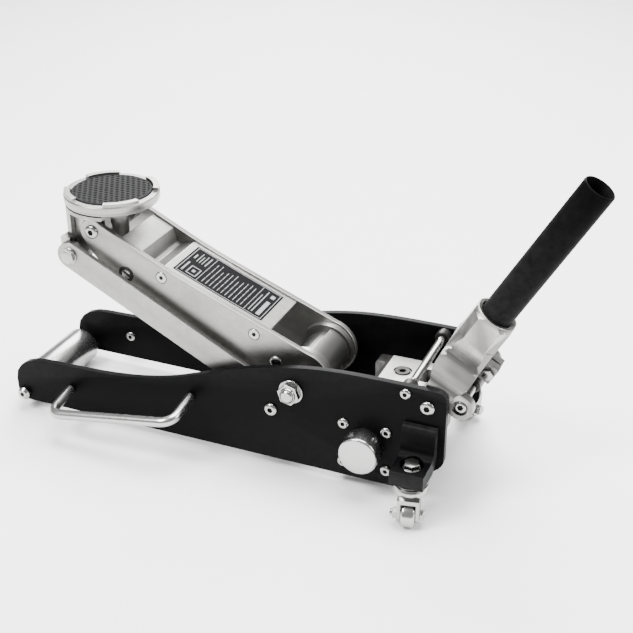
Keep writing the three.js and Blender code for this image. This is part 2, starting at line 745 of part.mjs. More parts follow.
function handleSocket() {
  const w = socketFlat;
  const corner = 11.7;
  const octagon = outline([[w, corner], [corner, w], [-corner, w], [-w, corner], [-w, -corner], [-corner, -w],
    [corner, -w], [w, -corner]]);
  const neck = mouthAt - 14;
  const fork = new THREE.Shape();
  fork.moveTo(w, 54);
  fork.bezierCurveTo(w, 40, w + 4, 34, 36, 30);
  fork.bezierCurveTo(48, 27, cheekOuter, 24, cheekOuter, 12);
  fork.lineTo(cheekOuter, -16);
  fork.lineTo(cheekInner, -16);
  fork.lineTo(cheekInner, 8);
  fork.bezierCurveTo(cheekInner, 17, 36, shoulderAt - 1, 28, shoulderAt);
  fork.lineTo(0, shoulderAt + 1);
  fork.lineTo(0, 54);
  fork.closePath();
  const half = barYZ(fork, -w, w, 8);
  const side = new THREE.Shape();
  side.absarc(0, 0, cheekR, Math.PI, 2 * Math.PI, false);
  side.lineTo(cheekR, shoulderAt - 1);
  side.bezierCurveTo(cheekR, 24, w, 24, w, 32);
  side.lineTo(w, 61);
  side.lineTo(-w, 61);
  side.lineTo(-w, 32);
  side.bezierCurveTo(-w, 24, -cheekR, 24, -cheekR, shoulderAt - 1);
  side.closePath();
  const corners = turnedZ([[0, -40], [64, -40], [64, 24], [44, 30], [31, 34], [26.5, 40], [22.4, 55], [0, 55]],
    0, 0, 36);
  const yoke = sum(half, half.mirror([0, 1, 0])).intersect(slabXZ(side, -60, 60, 8)).intersect(corners);
  const sleeve = slabXY(octagon, 34, mouthAt).intersect(
    turnedZ([[0, 33], [w + 8, 33], [w + 8, neck], [w + 1.2, mouthAt - 1], [w - 0.2, mouthAt], [0, mouthAt]],
      0, 0, 36),
  );
  const lug = box(w - 3, w + 13, -11, 11, 25, 43);
  const barrel = pinY(0, 0, barrelR, -cheekInner - 1, cheekInner + 1, 20);
  const camLug = (s) => slabXZ(taperBar(0, 0, 7, camAt.x, camAt.y, camR - 1.2), ...between(s, camHalf, camHalf + 4), 8);
  const lobe = (s) => slabXZ(taperBar(6, 12, 11, crossX, crossZ, lobeR), ...between(s, cheekInner, lobeOuter), 10);
  return cut(
    sum(yoke, sleeve, lug, barrel, camLug(-1), camLug(1), lobe(-1), lobe(1),
      pinY(camAt.x, camAt.y, camPinR, -camHalf - 1, camHalf + 1, 16)),
    pinZ(0, 0, tubeR + GAP, shoulderAt + 2.5, mouthAt + 1, 28),
    pinZ(0, 0, tubeR + 1.8, mouthAt - 4, mouthAt + 1, 28),
    box(-drive, drive, -drive, drive, 6.2 + GAP, mouthAt),
    box(w - 8, w + 14, -1.2, 1.2, shoulderAt, neck - 4),
    pinY(w + 7, 34, clampR + GAP, -12, 12, 14),
    ...SIDES.map(({ s }) => pinY(0, 0, 6 + GAP, ...between(s, cheekOuter - 9, cheekOuter + 1), 18)),
    pinY(crossX, crossZ, crossR + GAP, -lobeOuter - 1, lobeOuter + 1, 18),
    ...SIDES.map(({ s }) => pinY(crossX, crossZ, crossHeadR + 1, ...between(s, lobeOuter - 3, lobeOuter + 1), 18)),
  );
}

// the rod through the socket's two rear lobes, with its roller
function crossPin() {
  const side = [[crossRollerR, 9], [crossR, 9], [crossR, lobeOuter - 3 + GAP], [crossHeadR, lobeOuter - 3 + GAP],
    [crossHeadR, lobeOuter - 0.6], [crossHeadR - 1, lobeOuter], [0, lobeOuter]];
  return turnedY([...side.map(([r, h]) => [r, -h]).reverse(), ...side], crossX, crossZ, 18);
}

function camRoller() {
  const bore = camPinR + GAP;
  const half = camHalf - 0.5;
  return turnedY([[bore, -half], [camR, -half], [camR, half], [bore, half], [bore, -half]], camAt.x, camAt.y, 20);
}

function clampBolt() {
  const face = 11 + GAP;
  const x = socketFlat + 7;
  return sum(pinY(x, 34, clampR, -face - 0.5, face + 8, 14), hexY(x, 34, 10, -face - 4, -face));
}

function clampNut() {
  const face = 11 + GAP;
  const x = socketFlat + 7;
  return cut(hexY(x, 34, 10, face, face + 5), pinY(x, 34, clampR + GAP, face - 1, face + 6, 14));
}

function handleTube() {
  const bore = tubeR - tubeWall;
  return turnedZ([[bore, tubeStart], [tubeR, tubeStart], [tubeR, tubeEnd - 0.6], [tubeR - 0.6, tubeEnd],
    [bore + 0.6, tubeEnd], [bore, tubeEnd - 0.6], [bore, tubeStart]], 0, 0, 34);
}

// the plug in the tube's lower end that turns the release valve
function handleKnuckle() {
  const r = tubeR - tubeWall - GAP;
  return turnedZ([[0, tubeStart - 9], [4, tubeStart - 9], [4, tubeStart + 1], [r, tubeStart + 1],
    [r, tubeStart + 16], [0, tubeStart + 16]], 0, 0, 24);
}

// ---------------------------------------------------------------- assembly
const jack = new THREE.Group();
jack.name = 'car_jack';

const armFrame = frameAt(jack, pivotX, pivotZ, restAngle);
const linkFrame = frameAt(jack, linkX, linkZ, restAngle);
const rise = deg(restAngle);
const toeFrame = frameAt(jack, pivotX - armLength * Math.cos(rise), pivotZ + armLength * Math.sin(rise));
const socketFrame = frameAt(jack, socketX, socketZ, handleLean);

put(jack, 'roller_axle', rollerAxle(), ZINC);
put(jack, 'front_roller', frontRoller(), STEEL);
put(jack, 'main_pivot_shaft', pivotShaft(), ZINC);
put(jack, 'tie_rod', tieRod(), ZINC);
put(jack, 'pump_block', pumpBlock(), ALLOY);
put(jack, 'ram_cylinder', ramCylinder(), STEEL);
put(jack, 'filler_plug', fillerPlug(), DARK);
put(jack, 'piston_rod', pistonRod(), STEEL);
put(jack, 'pump_plunger', pumpPlunger(), STEEL);
put(jack, 'release_valve', releaseValve(), ZINC);
put(armFrame, 'arm_top_plate', armTop(), ALLOY);
put(armFrame, 'arm_hub', armHub(), ALLOY);
put(armFrame, 'arm_pin', ramPin(), ZINC);
put(toeFrame, 'saddle_bracket', saddleBracket(), ALLOY);
put(toeFrame, 'saddle_cup', saddleCup(), ALLOY);
put(toeFrame, 'saddle_pad', saddlePad(), RUBBER);
put(toeFrame, 'saddle_retainer', saddleClip(), ZINC);
put(socketFrame, 'handle_socket', handleSocket(), ALLOY);
put(socketFrame, 'cam_roller', camRoller(), ZINC);
put(socketFrame, 'cross_pin', crossPin(), ZINC);
put(socketFrame, 'clamp_bolt', clampBolt(), ZINC);
put(socketFrame, 'clamp_nut', clampNut(), ZINC);
put(socketFrame, 'handle_tube', handleTube(), TUBE);
put(socketFrame, 'handle_knuckle', handleKnuckle(), ZINC);

SIDES.forEach(({ name, s }) => {
  put(jack, `side_plate_${name}`, sidePlate(s), BLACK);
  put(jack, `side_handle_${name}`, sideHandle(s), STEEL);
  put(jack, `main_pivot_nut_${name}`, pivotNut(s), ZINC);
  put(jack, `pivot_bush_${name}`, pivotBush(s), DARK);
  put(jack, `link_screw_${name}`, shoulderScrew(s, linkX, linkZ, linkPinR, 6.7, linkInner - 2), ZINC);
  put(jack, `socket_screw_${name}`, shoulderScrew(s, socketX, socketZ, 6, 7, cheekOuter - 8), ZINC);
  put(jack, `tie_rod_spacer_${name}`, tieSpacer(s), DARK);
  put(jack, `end_cap_${name}`, endCap(s), STEEL);
  put(jack, `caster_bracket_${name}`, casterBracket(s), BLACK);
  put(jack, `caster_bolt_${name}`, casterBolt(s), ZINC);
  put(jack, `caster_race_${name}`, casterRace(s), ZINC);
  put(armFrame, `arm_plate_${name}`, armPlate(s), ALLOY);
  put(armFrame, `saddle_pivot_bolt_${name}`, toeBolt(s), ZINC);
  put(linkFrame, `link_bar_${name}`, linkBar(s), ALLOY);
  put(toeFrame, `link_pin_${name}`, linkPin(s), ZINC);
  const swivel = frameAt(jack, casterX, 0, 0, s * casterY, -s * (90 + casterHeading));
  put(swivel, `caster_fork_${name}`, casterFork(), ZINC);
  put(swivel, `caster_axle_${name}`, casterAxle(s), ZINC);
  put(swivel, `caster_wheel_${name}`, casterWheel(), STEEL);
});

// the origin is the middle of the jack's footprint
const extent = new THREE.Box3().setFromObject(jack);
jack.position.x = -(extent.min.x + extent.max.x) / 2;

export default jack;
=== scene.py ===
import math

import bmesh
import bpy
from bpy.props import FloatProperty, FloatVectorProperty, IntProperty, PointerProperty
from mathutils import Matrix, Vector


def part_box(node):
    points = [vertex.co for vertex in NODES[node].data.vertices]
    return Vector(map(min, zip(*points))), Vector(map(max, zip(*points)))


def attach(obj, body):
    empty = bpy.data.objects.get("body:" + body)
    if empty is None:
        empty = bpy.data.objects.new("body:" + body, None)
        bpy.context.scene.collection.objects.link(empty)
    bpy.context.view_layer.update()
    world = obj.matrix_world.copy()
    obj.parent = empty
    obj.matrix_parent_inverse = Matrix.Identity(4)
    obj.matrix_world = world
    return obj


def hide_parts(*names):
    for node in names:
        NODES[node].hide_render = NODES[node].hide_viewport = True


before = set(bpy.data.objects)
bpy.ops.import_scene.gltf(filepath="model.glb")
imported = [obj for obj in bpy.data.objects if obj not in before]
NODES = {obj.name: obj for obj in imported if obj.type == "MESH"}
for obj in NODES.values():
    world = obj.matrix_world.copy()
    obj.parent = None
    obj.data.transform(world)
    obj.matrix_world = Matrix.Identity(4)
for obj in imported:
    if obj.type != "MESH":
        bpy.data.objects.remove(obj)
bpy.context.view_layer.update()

bl_info = {
    "name": "Low-profile trolley jack",
    "version": (1, 0, 0),
    "blender": (4, 5, 0),
    "location": "View3D > Sidebar > Jack",
    "description": "Detailed pieces and finishes for a low-profile trolley jack",
    "category": "Object",
}

# ---------------------------------------------------------------- places taken from the frame
MM = 0.001
SIDES = (("near", -1), ("far", 1))
IN_PLACE = Matrix.Identity(4)  # a mesh that is already in place

# sizes in millimetres that more than one piece shares
ARM_FACE = 37.8  # centre plane to an arm plate's outer face
PLATE_HEAD_GAP = 0.3  # a screw head above the plate it sits on
GRIP_FEET = ((58, 37.5), (197, 61))  # x and z of the side handles' ends on a plate
CROSS_BOLT = (199, -18.0)  # along and above the lift arm
KEY_STEPS = 24
SHANK_STEPS = 40
HEAD_STEPS = 48
FINE_STEPS = 96

# values of the painted highlights on the sharp edges of the finishes
COAT_HIGHLIGHT_POINTINESS = 0.54  # pointiness above which the coat's edges get a painted highlight
METAL_HIGHLIGHT_POINTINESS = 0.52  # pointiness above which a metal edge gets a painted highlight
# colour of the painted highlight on the coat's sharp edges
COAT_HIGHLIGHT_COLOUR = (0.07, 0.07, 0.072)
METAL_HIGHLIGHT_GAIN = 2.4  # how much lighter the painted highlight on a metal edge is

# the slot and the material of each finish
ZINC = ("zinc", "zinc")
DARK = ("dark_steel", "dark")
CAST = ("cast_alloy", "alloy_cast")
# the side plates of the arm and the links take a darker copy of the brushed alloy, painted shade
PLATE = ("cast_alloy", "alloy_plate")
COAT = ("black_coat", "black_coat")
GROUND = ("polished_steel", "ground")
SATIN = ("polished_steel", "satin")

# studio, in metres, watts and degrees
LIGHTS = (
    ("key", (-0.9, -1.1, 1.7), 0.9, 74.0), ("top", (0.1, 0.5, 2.1), 1.8, 150.0),
    ("right", (1.9, 0.3, 1.1), 1.0, 40.0), ("back", (-0.8, 1.9, 1.3), 1.3, 64.0),
)
WORLD_STRENGTH = 0.55
CAMERA_AT = (690.7, -933.1, 672.6)  # millimetres, from the roller's line on the floor
CAMERA_TILT, CAMERA_TURN = 62.17, 22.556
CAMERA_LENS, CAMERA_SENSOR = 68.0, 36.0


def middle(node):
    low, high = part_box(node)
    return (low + high) / 2


ROLLER = middle("front_roller")
PIVOT = middle("main_pivot_shaft")
TOE = (middle("saddle_pivot_bolt_near") + middle("saddle_pivot_bolt_far")) / 2
SADDLE = middle("saddle_pad")
ARM_DIR = (TOE - PIVOT).normalized()
ARM_UP = Vector((ARM_DIR.z, 0, -ARM_DIR.x))
PUMP_PIVOT = (middle("socket_screw_near") + middle("socket_screw_far")) / 2
HANDLE_LEAN = math.radians(30.1)
HANDLE_DIR = Vector((math.sin(HANDLE_LEAN), 0, math.cos(HANDLE_LEAN)))
PLATE_OUTER = -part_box("side_plate_near")[0].y
PLATE_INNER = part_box("side_plate_far")[0].y


def spot(x, y, z):
    """A place in millimetres from the roller axle's line on the floor, in the row frame."""
    return Vector((ROLLER.x + x * MM, y * MM, z * MM))


def on_arm(u, y, v):
    """A place u along the lift arm from its pivot, y across and v above it, in millimetres."""
    return PIVOT + ARM_DIR * (u * MM) + ARM_UP * (v * MM) + Vector((0, y * MM, 0))


def facing(direction, turn=0.0):
    """The rotation that takes +Z to a direction."""
    aim = Vector(direction).normalized().to_track_quat("Z", "Y").to_matrix().to_4x4()
    return aim @ Matrix.Rotation(turn, 4, "Z")


def place_at(point, direction=(0, 0, 1), turn=0.0):
    return Matrix.Translation(Vector(point)) @ facing(direction, turn)


# ---------------------------------------------------------------- settings
class JackFinish(bpy.types.PropertyGroup):
    """Colours and surface values of the finishes."""

    coat: FloatVectorProperty(
        name="Black coat", description="Colour of the powder coat on the side plates", subtype="COLOR",
        size=3, min=0, max=1, default=(0.0014, 0.0014, 0.0016))
    alloy: FloatVectorProperty(
        name="Alloy", description="Colour of the brushed and cast aluminium", subtype="COLOR",
        size=3, min=0, max=1, default=(0.25, 0.247, 0.238))
    steel: FloatVectorProperty(
        name="Steel", description="Colour of the polished steel", subtype="COLOR",
        size=3, min=0, max=1, default=(0.40, 0.40, 0.395))
    zinc: FloatVectorProperty(
        name="Zinc", description="Colour of the plated screws and caster parts", subtype="COLOR",
        size=3, min=0, max=1, default=(0.33, 0.33, 0.322))
    rubber: FloatVectorProperty(
        name="Rubber", description="Colour of the saddle pad", subtype="COLOR",
        size=3, min=0, max=1, default=(0.007, 0.007, 0.0073))
    tube: FloatVectorProperty(
        name="Tube coat", description="Colour of the matte coat on the handle tube", subtype="COLOR",
        size=3, min=0, max=1, default=(0.0006, 0.0006, 0.0007))
    # strength of the painted highlight on the coat's sharp edges
    edge_highlight: FloatProperty(
        name="Painted edge highlight", description="How much brighter the worn edges of the coat are", min=0, max=1,
        default=0.55, subtype="FACTOR")


class JackShape(bpy.types.PropertyGroup):
    """Sizes of the finer shapes."""

    edge: FloatProperty(
        name="Plate edge", description="Width of the rounded edges on plates", unit="LENGTH",
        default=0.0009, min=0.0001, max=0.003)
    dimple_pitch: FloatProperty(
        name="Dimple pitch", description="Distance between the dimples of the saddle pad", unit="LENGTH",
        default=0.0060, min=0.002, max=0.02)
    dimple_r: FloatProperty(
        name="Dimple radius", description="Radius of one dimple", unit="LENGTH",
        default=0.0021, min=0.0005, max=0.008)
    dimple_depth: FloatProperty(
        name="Dimple depth", description="Depth of one dimple", unit="LENGTH",
        default=0.0017, min=0.0001, max=0.004)
    facets: IntProperty(
        name="Facets", description="Facets round the turned pieces", default=72, min=16, max=256)


def finish():
    return bpy.context.scene.jack_finish


def shape():
    return bpy.context.scene.jack_shape


# ---------------------------------------------------------------- node groups and materials
GROUPS = {}
MATERIALS = {}


def new_group(name, inputs, outputs):
    tree = bpy.data.node_groups.new(name, "ShaderNodeTree")
    for label, kind, default in inputs:
        tree.interface.new_socket(name=label, in_out="INPUT", socket_type=kind).default_value = default
    for label, kind in outputs:
        tree.interface.new_socket(name=label, in_out="OUTPUT", socket_type=kind)
    return tree, tree.nodes.new("NodeGroupInput"), tree.nodes.new("NodeGroupOutput")


def add(tree, kind, links=(), **values):
    """A node with its attributes set, its inputs given as numbers, and (input, output) links made."""
    node = tree.nodes.new(kind)
    for key, value in values.items():
        if key.startswith("in_"):
            node.inputs[key[3:].replace("_", " ")].default_value = value
        else:
            setattr(node, key, value)
    for name, source in links:
        tree.links.new(source, node.inputs[name])
    return node


def math_node(tree, operation, first, second=None, clamp=False):
    node = tree.nodes.new("ShaderNodeMath")
    node.operation = operation
    node.use_clamp = clamp
    for index, value in enumerate((first, second)):
        if value is None:
            continue
        if isinstance(value, (int, float)):
            node.inputs[index].default_value = value
        else:
            tree.links.new(value, node.inputs[index])
    return node.outputs[0]


def brushed_group():
    """Fine lines along one axis, with the tone drifting slowly over the surface."""
    tree, given, out = new_group(
        "brushed_lines",
        (("Stretch", "NodeSocketVector", (1.0, 1.0, 1.0)), ("Fineness", "NodeSocketFloat", 900.0)),
        (("Lines", "NodeSocketFloat"), ("Drift", "NodeSocketFloat")))
    coords = add(tree, "ShaderNodeTexCoord")
    stretched = add(tree, "ShaderNodeVectorMath",
                    [(0, coords.outputs["Object"]), (1, given.outputs["Stretch"])],
                    operation="MULTIPLY")
    lines = add(tree, "ShaderNodeTexNoise",
                [("Vector", stretched.outputs[0]), ("Scale", given.outputs["Fineness"])],
                in_Detail=3.0, in_Roughness=0.6)
    drift = add(tree, "ShaderNodeTexNoise", [("Vector", coords.outputs["Object"])],
                in_Scale=14.0, in_Detail=2.0, in_Roughness=0.5)
    tree.links.new(lines.outputs["Fac"], out.inputs["Lines"])
    tree.links.new(drift.outputs["Fac"], out.inputs["Drift"])
    return tree


def grain_group():
    """Small round grain of cast metal, powder coat or rubber, as height and as speckle."""
    tree, given, out = new_group(
        "fine_grain",
        (("Grain", "NodeSocketFloat", 1200.0), ("Speckle", "NodeSocketFloat", 400.0)),
        (("Height", "NodeSocketFloat"), ("Spots", "NodeSocketFloat")))
    coords = add(tree, "ShaderNodeTexCoord")
    grain = add(tree, "ShaderNodeTexNoise",
                [("Vector", coords.outputs["Object"]), ("Scale", given.outputs["Grain"])],
                in_Detail=2.0, in_Roughness=0.5)
    cells = add(tree, "ShaderNodeTexVoronoi",
                [("Vector", coords.outputs["Object"]), ("Scale", given.outputs["Speckle"])],
                feature="SMOOTH_F1", in_Smoothness=0.5)
    tree.links.new(grain.outputs["Fac"], out.inputs["Height"])
    tree.links.new(cells.outputs["Distance"], out.inputs["Spots"])
    return tree


def highlight_mask_group():
    """Mask of the painted edge highlights: sharp outer edges, broken up by noise."""
    tree, given, out = new_group(
        "painted_highlight_on_edges",
        (("Amount", "NodeSocketFloat", 0.5), ("Threshold", "NodeSocketFloat", COAT_HIGHLIGHT_POINTINESS)),
        (("Mask", "NodeSocketFloat"),))
    coords = add(tree, "ShaderNodeTexCoord")
    geometry = add(tree, "ShaderNodeNewGeometry")
    patches = add(tree, "ShaderNodeTexNoise", [("Vector", coords.outputs["Object"])],
                  in_Scale=140.0, in_Detail=5.0, in_Roughness=0.65)
    over = math_node(tree, "SUBTRACT", geometry.outputs["Pointiness"], given.outputs["Threshold"])
    sharp = math_node(tree, "MULTIPLY", over, 14.0, clamp=True)
    broken = math_node(tree, "MULTIPLY", sharp, math_node(tree, "MULTIPLY", patches.outputs["Fac"], 1.6),
                       clamp=True)
    tree.links.new(math_node(tree, "MULTIPLY", broken, given.outputs["Amount"], clamp=True),
                   out.inputs["Mask"])
    return tree


def placed(material, group, **values):
    node = material.node_tree.nodes.new("ShaderNodeGroup")
    node.node_tree = GROUPS[group]
    for name, value in values.items():
        node.inputs[name].default_value = value
    return node


def plain_material(name):
    material = bpy.data.materials.new(name)
    material.use_nodes = True
    tree = material.node_tree
    return material, tree, tree.nodes["Principled BSDF"]


def spread(tree, value, low, high):
    """Maps a 0 to 1 value onto low to high."""
    return add(tree, "ShaderNodeMapRange", [("Value", value)], in_To_Min=low,
               in_To_Max=high).outputs["Result"]


def blended(tree, factor, first, second):
    """Mixes two colours, each one given as numbers or as an output of another node."""
    mix = add(tree, "ShaderNodeMix", [("Factor", factor)], data_type="RGBA")
    for item, color in zip([item for item in mix.inputs if item.type == "RGBA"], (first, second)):
        if isinstance(color, tuple):
            item.default_value = (*color, 1)
        else:
            tree.links.new(color, item)
    return mix.outputs[2]


def scaled(color, factor):
    return tuple(min(1.0, c * factor) for c in color)


def bump(tree, shader, height, strength, distance):
    node = add(tree, "ShaderNodeBump", [("Height", height)], in_Strength=strength, in_Distance=distance)
    tree.links.new(node.outputs["Normal"], shader.inputs["Normal"])


def highlight_sharp_edges(tree, material, base, shader, light, amount, threshold=METAL_HIGHLIGHT_POINTINESS):
    """Feeds the base colour through a lighter tone on the sharp edges, a painted edge highlight."""
    edges = placed(material, "edge_highlight", Amount=amount, Threshold=threshold)
    tree.links.new(blended(tree, edges.outputs["Mask"], base, light), shader.inputs["Base Color"])


def metal_finish(name, color, rough, texture, tone, swing, depth, strength, edges, metal):
    """A metal whose tone and roughness follow two mixed textures, with a fine bump from the first."""
    material, tree, shader = plain_material(name)
    first, second, share = texture(material)
    blend = math_node(tree, "ADD", math_node(tree, "MULTIPLY", first, share),
                      math_node(tree, "MULTIPLY", second, round(1 - share, 6)))
    contrast = add(tree, "ShaderNodeMapRange", [("Value", blend)], in_From_Min=0.3, in_From_Max=0.7)
    level = contrast.outputs["Result"]
    base = blended(tree, level, scaled(color, 1 - tone), scaled(color, 1 + tone))
    # painted highlight on the metal's sharp edges
    highlight_sharp_edges(tree, material, base, shader, scaled(color, METAL_HIGHLIGHT_GAIN), edges)
    tree.links.new(spread(tree, level, rough + swing, rough - swing), shader.inputs["Roughness"])
    shader.inputs["Metallic"].default_value = metal
    bump(tree, shader, first, strength, depth)
    return material


def brushed_metal(name, color, stretch, rough, lift=0.12, depth=0.00004, edges=0.0):
    def texture(material):
        lines = placed(material, "brushed", Stretch=stretch, Fineness=900.0)
        return lines.outputs["Lines"], lines.outputs["Drift"], 0.55

    return metal_finish(name, color, rough, texture, lift, 0.07, depth, 0.35, edges, 1.0)


def cast_metal(name, color, rough, grain=1100.0, metal=1.0, depth=0.00018, tone=0.13, edges=0.0):
    def texture(material):
        grit = placed(material, "grain", Grain=grain, Speckle=420.0)
        lines = placed(material, "brushed", Stretch=(1.0, 1.0, 1.0), Fineness=60.0)
        return grit.outputs["Height"], lines.outputs["Drift"], 0.4

    return metal_finish(name, color, rough, texture, tone, 0.06, depth, 0.5, edges, metal)


def coated(name, color, rough, edge_highlight, grain=1500.0, depth=0.00012, gloss=0.07):
    material, tree, shader = plain_material(name)
    shader.inputs["Specular IOR Level"].default_value = gloss
    grit = placed(material, "grain", Grain=grain, Speckle=500.0)
    lines = placed(material, "brushed", Stretch=(1.0, 1.0, 1.0), Fineness=80.0)
    base = blended(tree, lines.outputs["Drift"], scaled(color, 0.8), scaled(color, 1.3))
    # painted highlight on the coat's sharp edges
    highlight_sharp_edges(tree, material, base, shader, COAT_HIGHLIGHT_COLOUR, edge_highlight, COAT_HIGHLIGHT_POINTINESS)
    tree.links.new(spread(tree, lines.outputs["Drift"], rough - 0.05, rough + 0.08),
                   shader.inputs["Roughness"])
    bump(tree, shader, grit.outputs["Height"], 0.3, depth)
    return material


def rubbery(name, color, rough):
    material, tree, shader = plain_material(name)
    shader.inputs["Specular IOR Level"].default_value = 0.12
    grit = placed(material, "grain", Grain=1700.0, Speckle=900.0)
    geometry = add(tree, "ShaderNodeNewGeometry")
    # painted shade: the rubber darkens where pointiness is low, in the dimples, mixed with random grain tone
    hollow_shade = add(tree, "ShaderNodeMapRange", [("Value", geometry.outputs["Pointiness"])],
                 in_From_Min=0.44, in_From_Max=0.52)
    shade = math_node(tree, "ADD", math_node(tree, "MULTIPLY", hollow_shade.outputs["Result"], 0.7),
                      math_node(tree, "MULTIPLY", grit.outputs["Height"], 0.4), clamp=True)
    tree.links.new(blended(tree, shade, scaled(color, 0.25), scaled(color, 1.5)), shader.inputs["Base Color"])
    tree.links.new(spread(tree, grit.outputs["Height"], rough - 0.1, rough + 0.1), shader.inputs["Roughness"])
    bump(tree, shader, grit.outputs["Height"], 0.7, 0.00025)
    return material


def floor_material():
    material, tree, shader = plain_material("studio_floor")
    lines = placed(material, "brushed", Stretch=(1.0, 1.0, 1.0), Fineness=3.0)
    tree.links.new(blended(tree, lines.outputs["Drift"], (0.93, 0.93, 0.93), (0.96, 0.96, 0.96)),
                   shader.inputs["Base Color"])
    shader.inputs["Roughness"].default_value = 0.9
    return material


def make_materials():
    look = finish()
    GROUPS.update({"brushed": brushed_group(), "grain": grain_group(), "edge_highlight": highlight_mask_group()})
    along = (0.04, 1.0, 1.0)
    MATERIALS.update({
        "black_coat": coated("black_powder_coat", look.coat, 0.36, look.edge_highlight, gloss=0.035),
        "tube_coat": coated("matte_tube_coat", look.tube, 0.42, look.edge_highlight * 0.5, grain=2200.0, gloss=0.012),
        # the side plates' copy of the brushed alloy is darker than the top plate's, painted shade on the
        # sides
        "alloy_plate": brushed_metal("brushed_alloy_side_shaded", scaled(look.alloy, 0.8), along, 0.36, edges=0.8),
        "alloy_top": brushed_metal("brushed_alloy_top", scaled(look.alloy, 0.95), along, 0.36, edges=0.8),
        "alloy_cast": cast_metal("cast_alloy", scaled(look.alloy, 0.72), 0.34, edges=0.9),
        "alloy_turned": brushed_metal("turned_alloy", look.alloy, (1.0, 1.0, 0.05), 0.33, edges=0.8),
        "ground": brushed_metal("ground_steel", look.steel, (1.0, 1.0, 0.08), 0.24, lift=0.07),
        "satin": cast_metal("satin_steel", look.steel, 0.27, grain=900.0, depth=0.00003, tone=0.05),
        "zinc": cast_metal("bright_zinc", look.zinc, 0.2, grain=500.0, depth=0.00004, tone=0.1),
        "dark": cast_metal("dark_oxide", (0.028, 0.027, 0.026), 0.38, metal=0.8),
        "rubber": rubbery("saddle_rubber", look.rubber, 0.68),
        "label": coated("label_black", (0.004, 0.004, 0.0045), 0.55, 0.0, depth=0.00002, gloss=0.03),
        "print": coated("label_print", (0.24, 0.24, 0.245), 0.5, 0.0, depth=0.00002),
        "recess": coated("recess_shadow", (0.004, 0.004, 0.004), 0.6, 0.0, gloss=0.1),
        "floor": floor_material(),
    })


# ---------------------------------------------------------------- making and finishing pieces
def from_bmesh(name, mesh_work, matrix, body, slot, material, smooth=35.0, edge=None, stands_for=()):
    """Turns a bmesh made round the origin into a finished piece, in place and riding on a body."""
    bmesh.ops.remove_doubles(mesh_work, verts=mesh_work.verts[:], dist=1e-7)
    bmesh.ops.dissolve_degenerate(mesh_work, edges=mesh_work.edges[:], dist=1e-7)
    bmesh.ops.transform(mesh_work, matrix=matrix, verts=mesh_work.verts[:])
    bmesh.ops.recalc_face_normals(mesh_work, faces=mesh_work.faces[:])
    mesh = bpy.data.meshes.new(name)
    mesh_work.to_mesh(mesh)
    mesh_work.free()
    piece = bpy.data.objects.new(name, mesh)
    bpy.context.scene.collection.objects.link(piece)
    mesh.polygons.foreach_set("use_smooth", [True] * len(mesh.polygons))
    mesh.set_sharp_from_angle(angle=math.radians(smooth))
    if edge:
        round_edges(piece, edge)
    mesh.materials.append(MATERIALS[material])
    # faces marked 1 take the dark recess material, painted shade
    if any(face.material_index for face in mesh.polygons):
        mesh.materials.append(MATERIALS["recess"])
    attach(piece, body)
    if stands_for:
        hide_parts(*stands_for)
    return piece


def round_edges(piece, width, segments=2, angle=32.0, harden=True):
    modifier = piece.modifiers.new("rounded_edges", "BEVEL")
    modifier.width = width
    modifier.segments = segments
    modifier.limit_method = "ANGLE"
    modifier.angle_limit = math.radians(angle)
    modifier.use_clamp_overlap = True
    modifier.harden_normals = harden


def turned(profile, steps=None):
    """A bmesh spun about Z from [radius, height] pairs in millimetres."""
    work = bmesh.new()
    verts = [work.verts.new((r * MM, 0, h * MM)) for r, h in profile]
    edges = [work.edges.new(pair) for pair in zip(verts, verts[1:])]
    bmesh.ops.spin(work, geom=verts + edges, cent=(0, 0, 0), axis=(0, 0, 1), dvec=(0, 0, 0),
                   angle=2 * math.pi, steps=steps or shape().facets, use_merge=True, use_duplicate=False)
    bmesh.ops.remove_doubles(work, verts=work.verts[:], dist=1e-7)
    return work


def ring(inner, outer, low, high, soft=0.6):
    """Profile of a ring with softened outer corners."""
    return [[inner, low], [outer - soft, low], [outer, low + soft], [outer, high - soft],
            [outer - soft, high],
            [inner, high], [inner, low]]


def hexagon_recess(work, reach, top):
    """Pulls the vertices inside a radius onto a hexagon, and gives the faces below a height there the dark
    recess material, painted shade in the socket.
    """
    for face in work.faces:
        middle_point = face.calc_center_median()
        if math.hypot(middle_point.x, middle_point.y) < reach * MM and middle_point.z < (top - 0.25) * MM:
            face.material_index = 1
    for vert in work.verts:
        radius = math.hypot(vert.co.x, vert.co.y)
        if radius < 1e-9 or radius > reach * MM * 1.001:
            continue
        turn = math.atan2(vert.co.y, vert.co.x) % (math.pi / 3) - math.pi / 6
        factor = math.cos(math.pi / 6) / math.cos(turn)
        vert.co.x *= factor
        vert.co.y *= factor


def button_head(radius, height, key):
    """A round screw head with a hexagon socket."""
    dome = [[radius, 0], [radius, height * 0.18]]
    for k in range(1, 6):
        angle = k * math.pi / 2 / 5.6
        dome.append([radius * math.cos(angle) * 0.97 + 0.03 * radius * (1 - k / 5),
                     height * (0.18 + 0.82 * math.sin(angle))])
    dome = [pair for pair in dome if pair[0] > key + 0.35]
    top = dome[-1][1]
    profile = [[0, 0], *dome, [key + 0.3, top], [key, top - 0.15], [key, height * 0.32], [0, height * 0.24]]
    work = turned(profile, 48)
    hexagon_recess(work, key + 0.05, top)
    return work


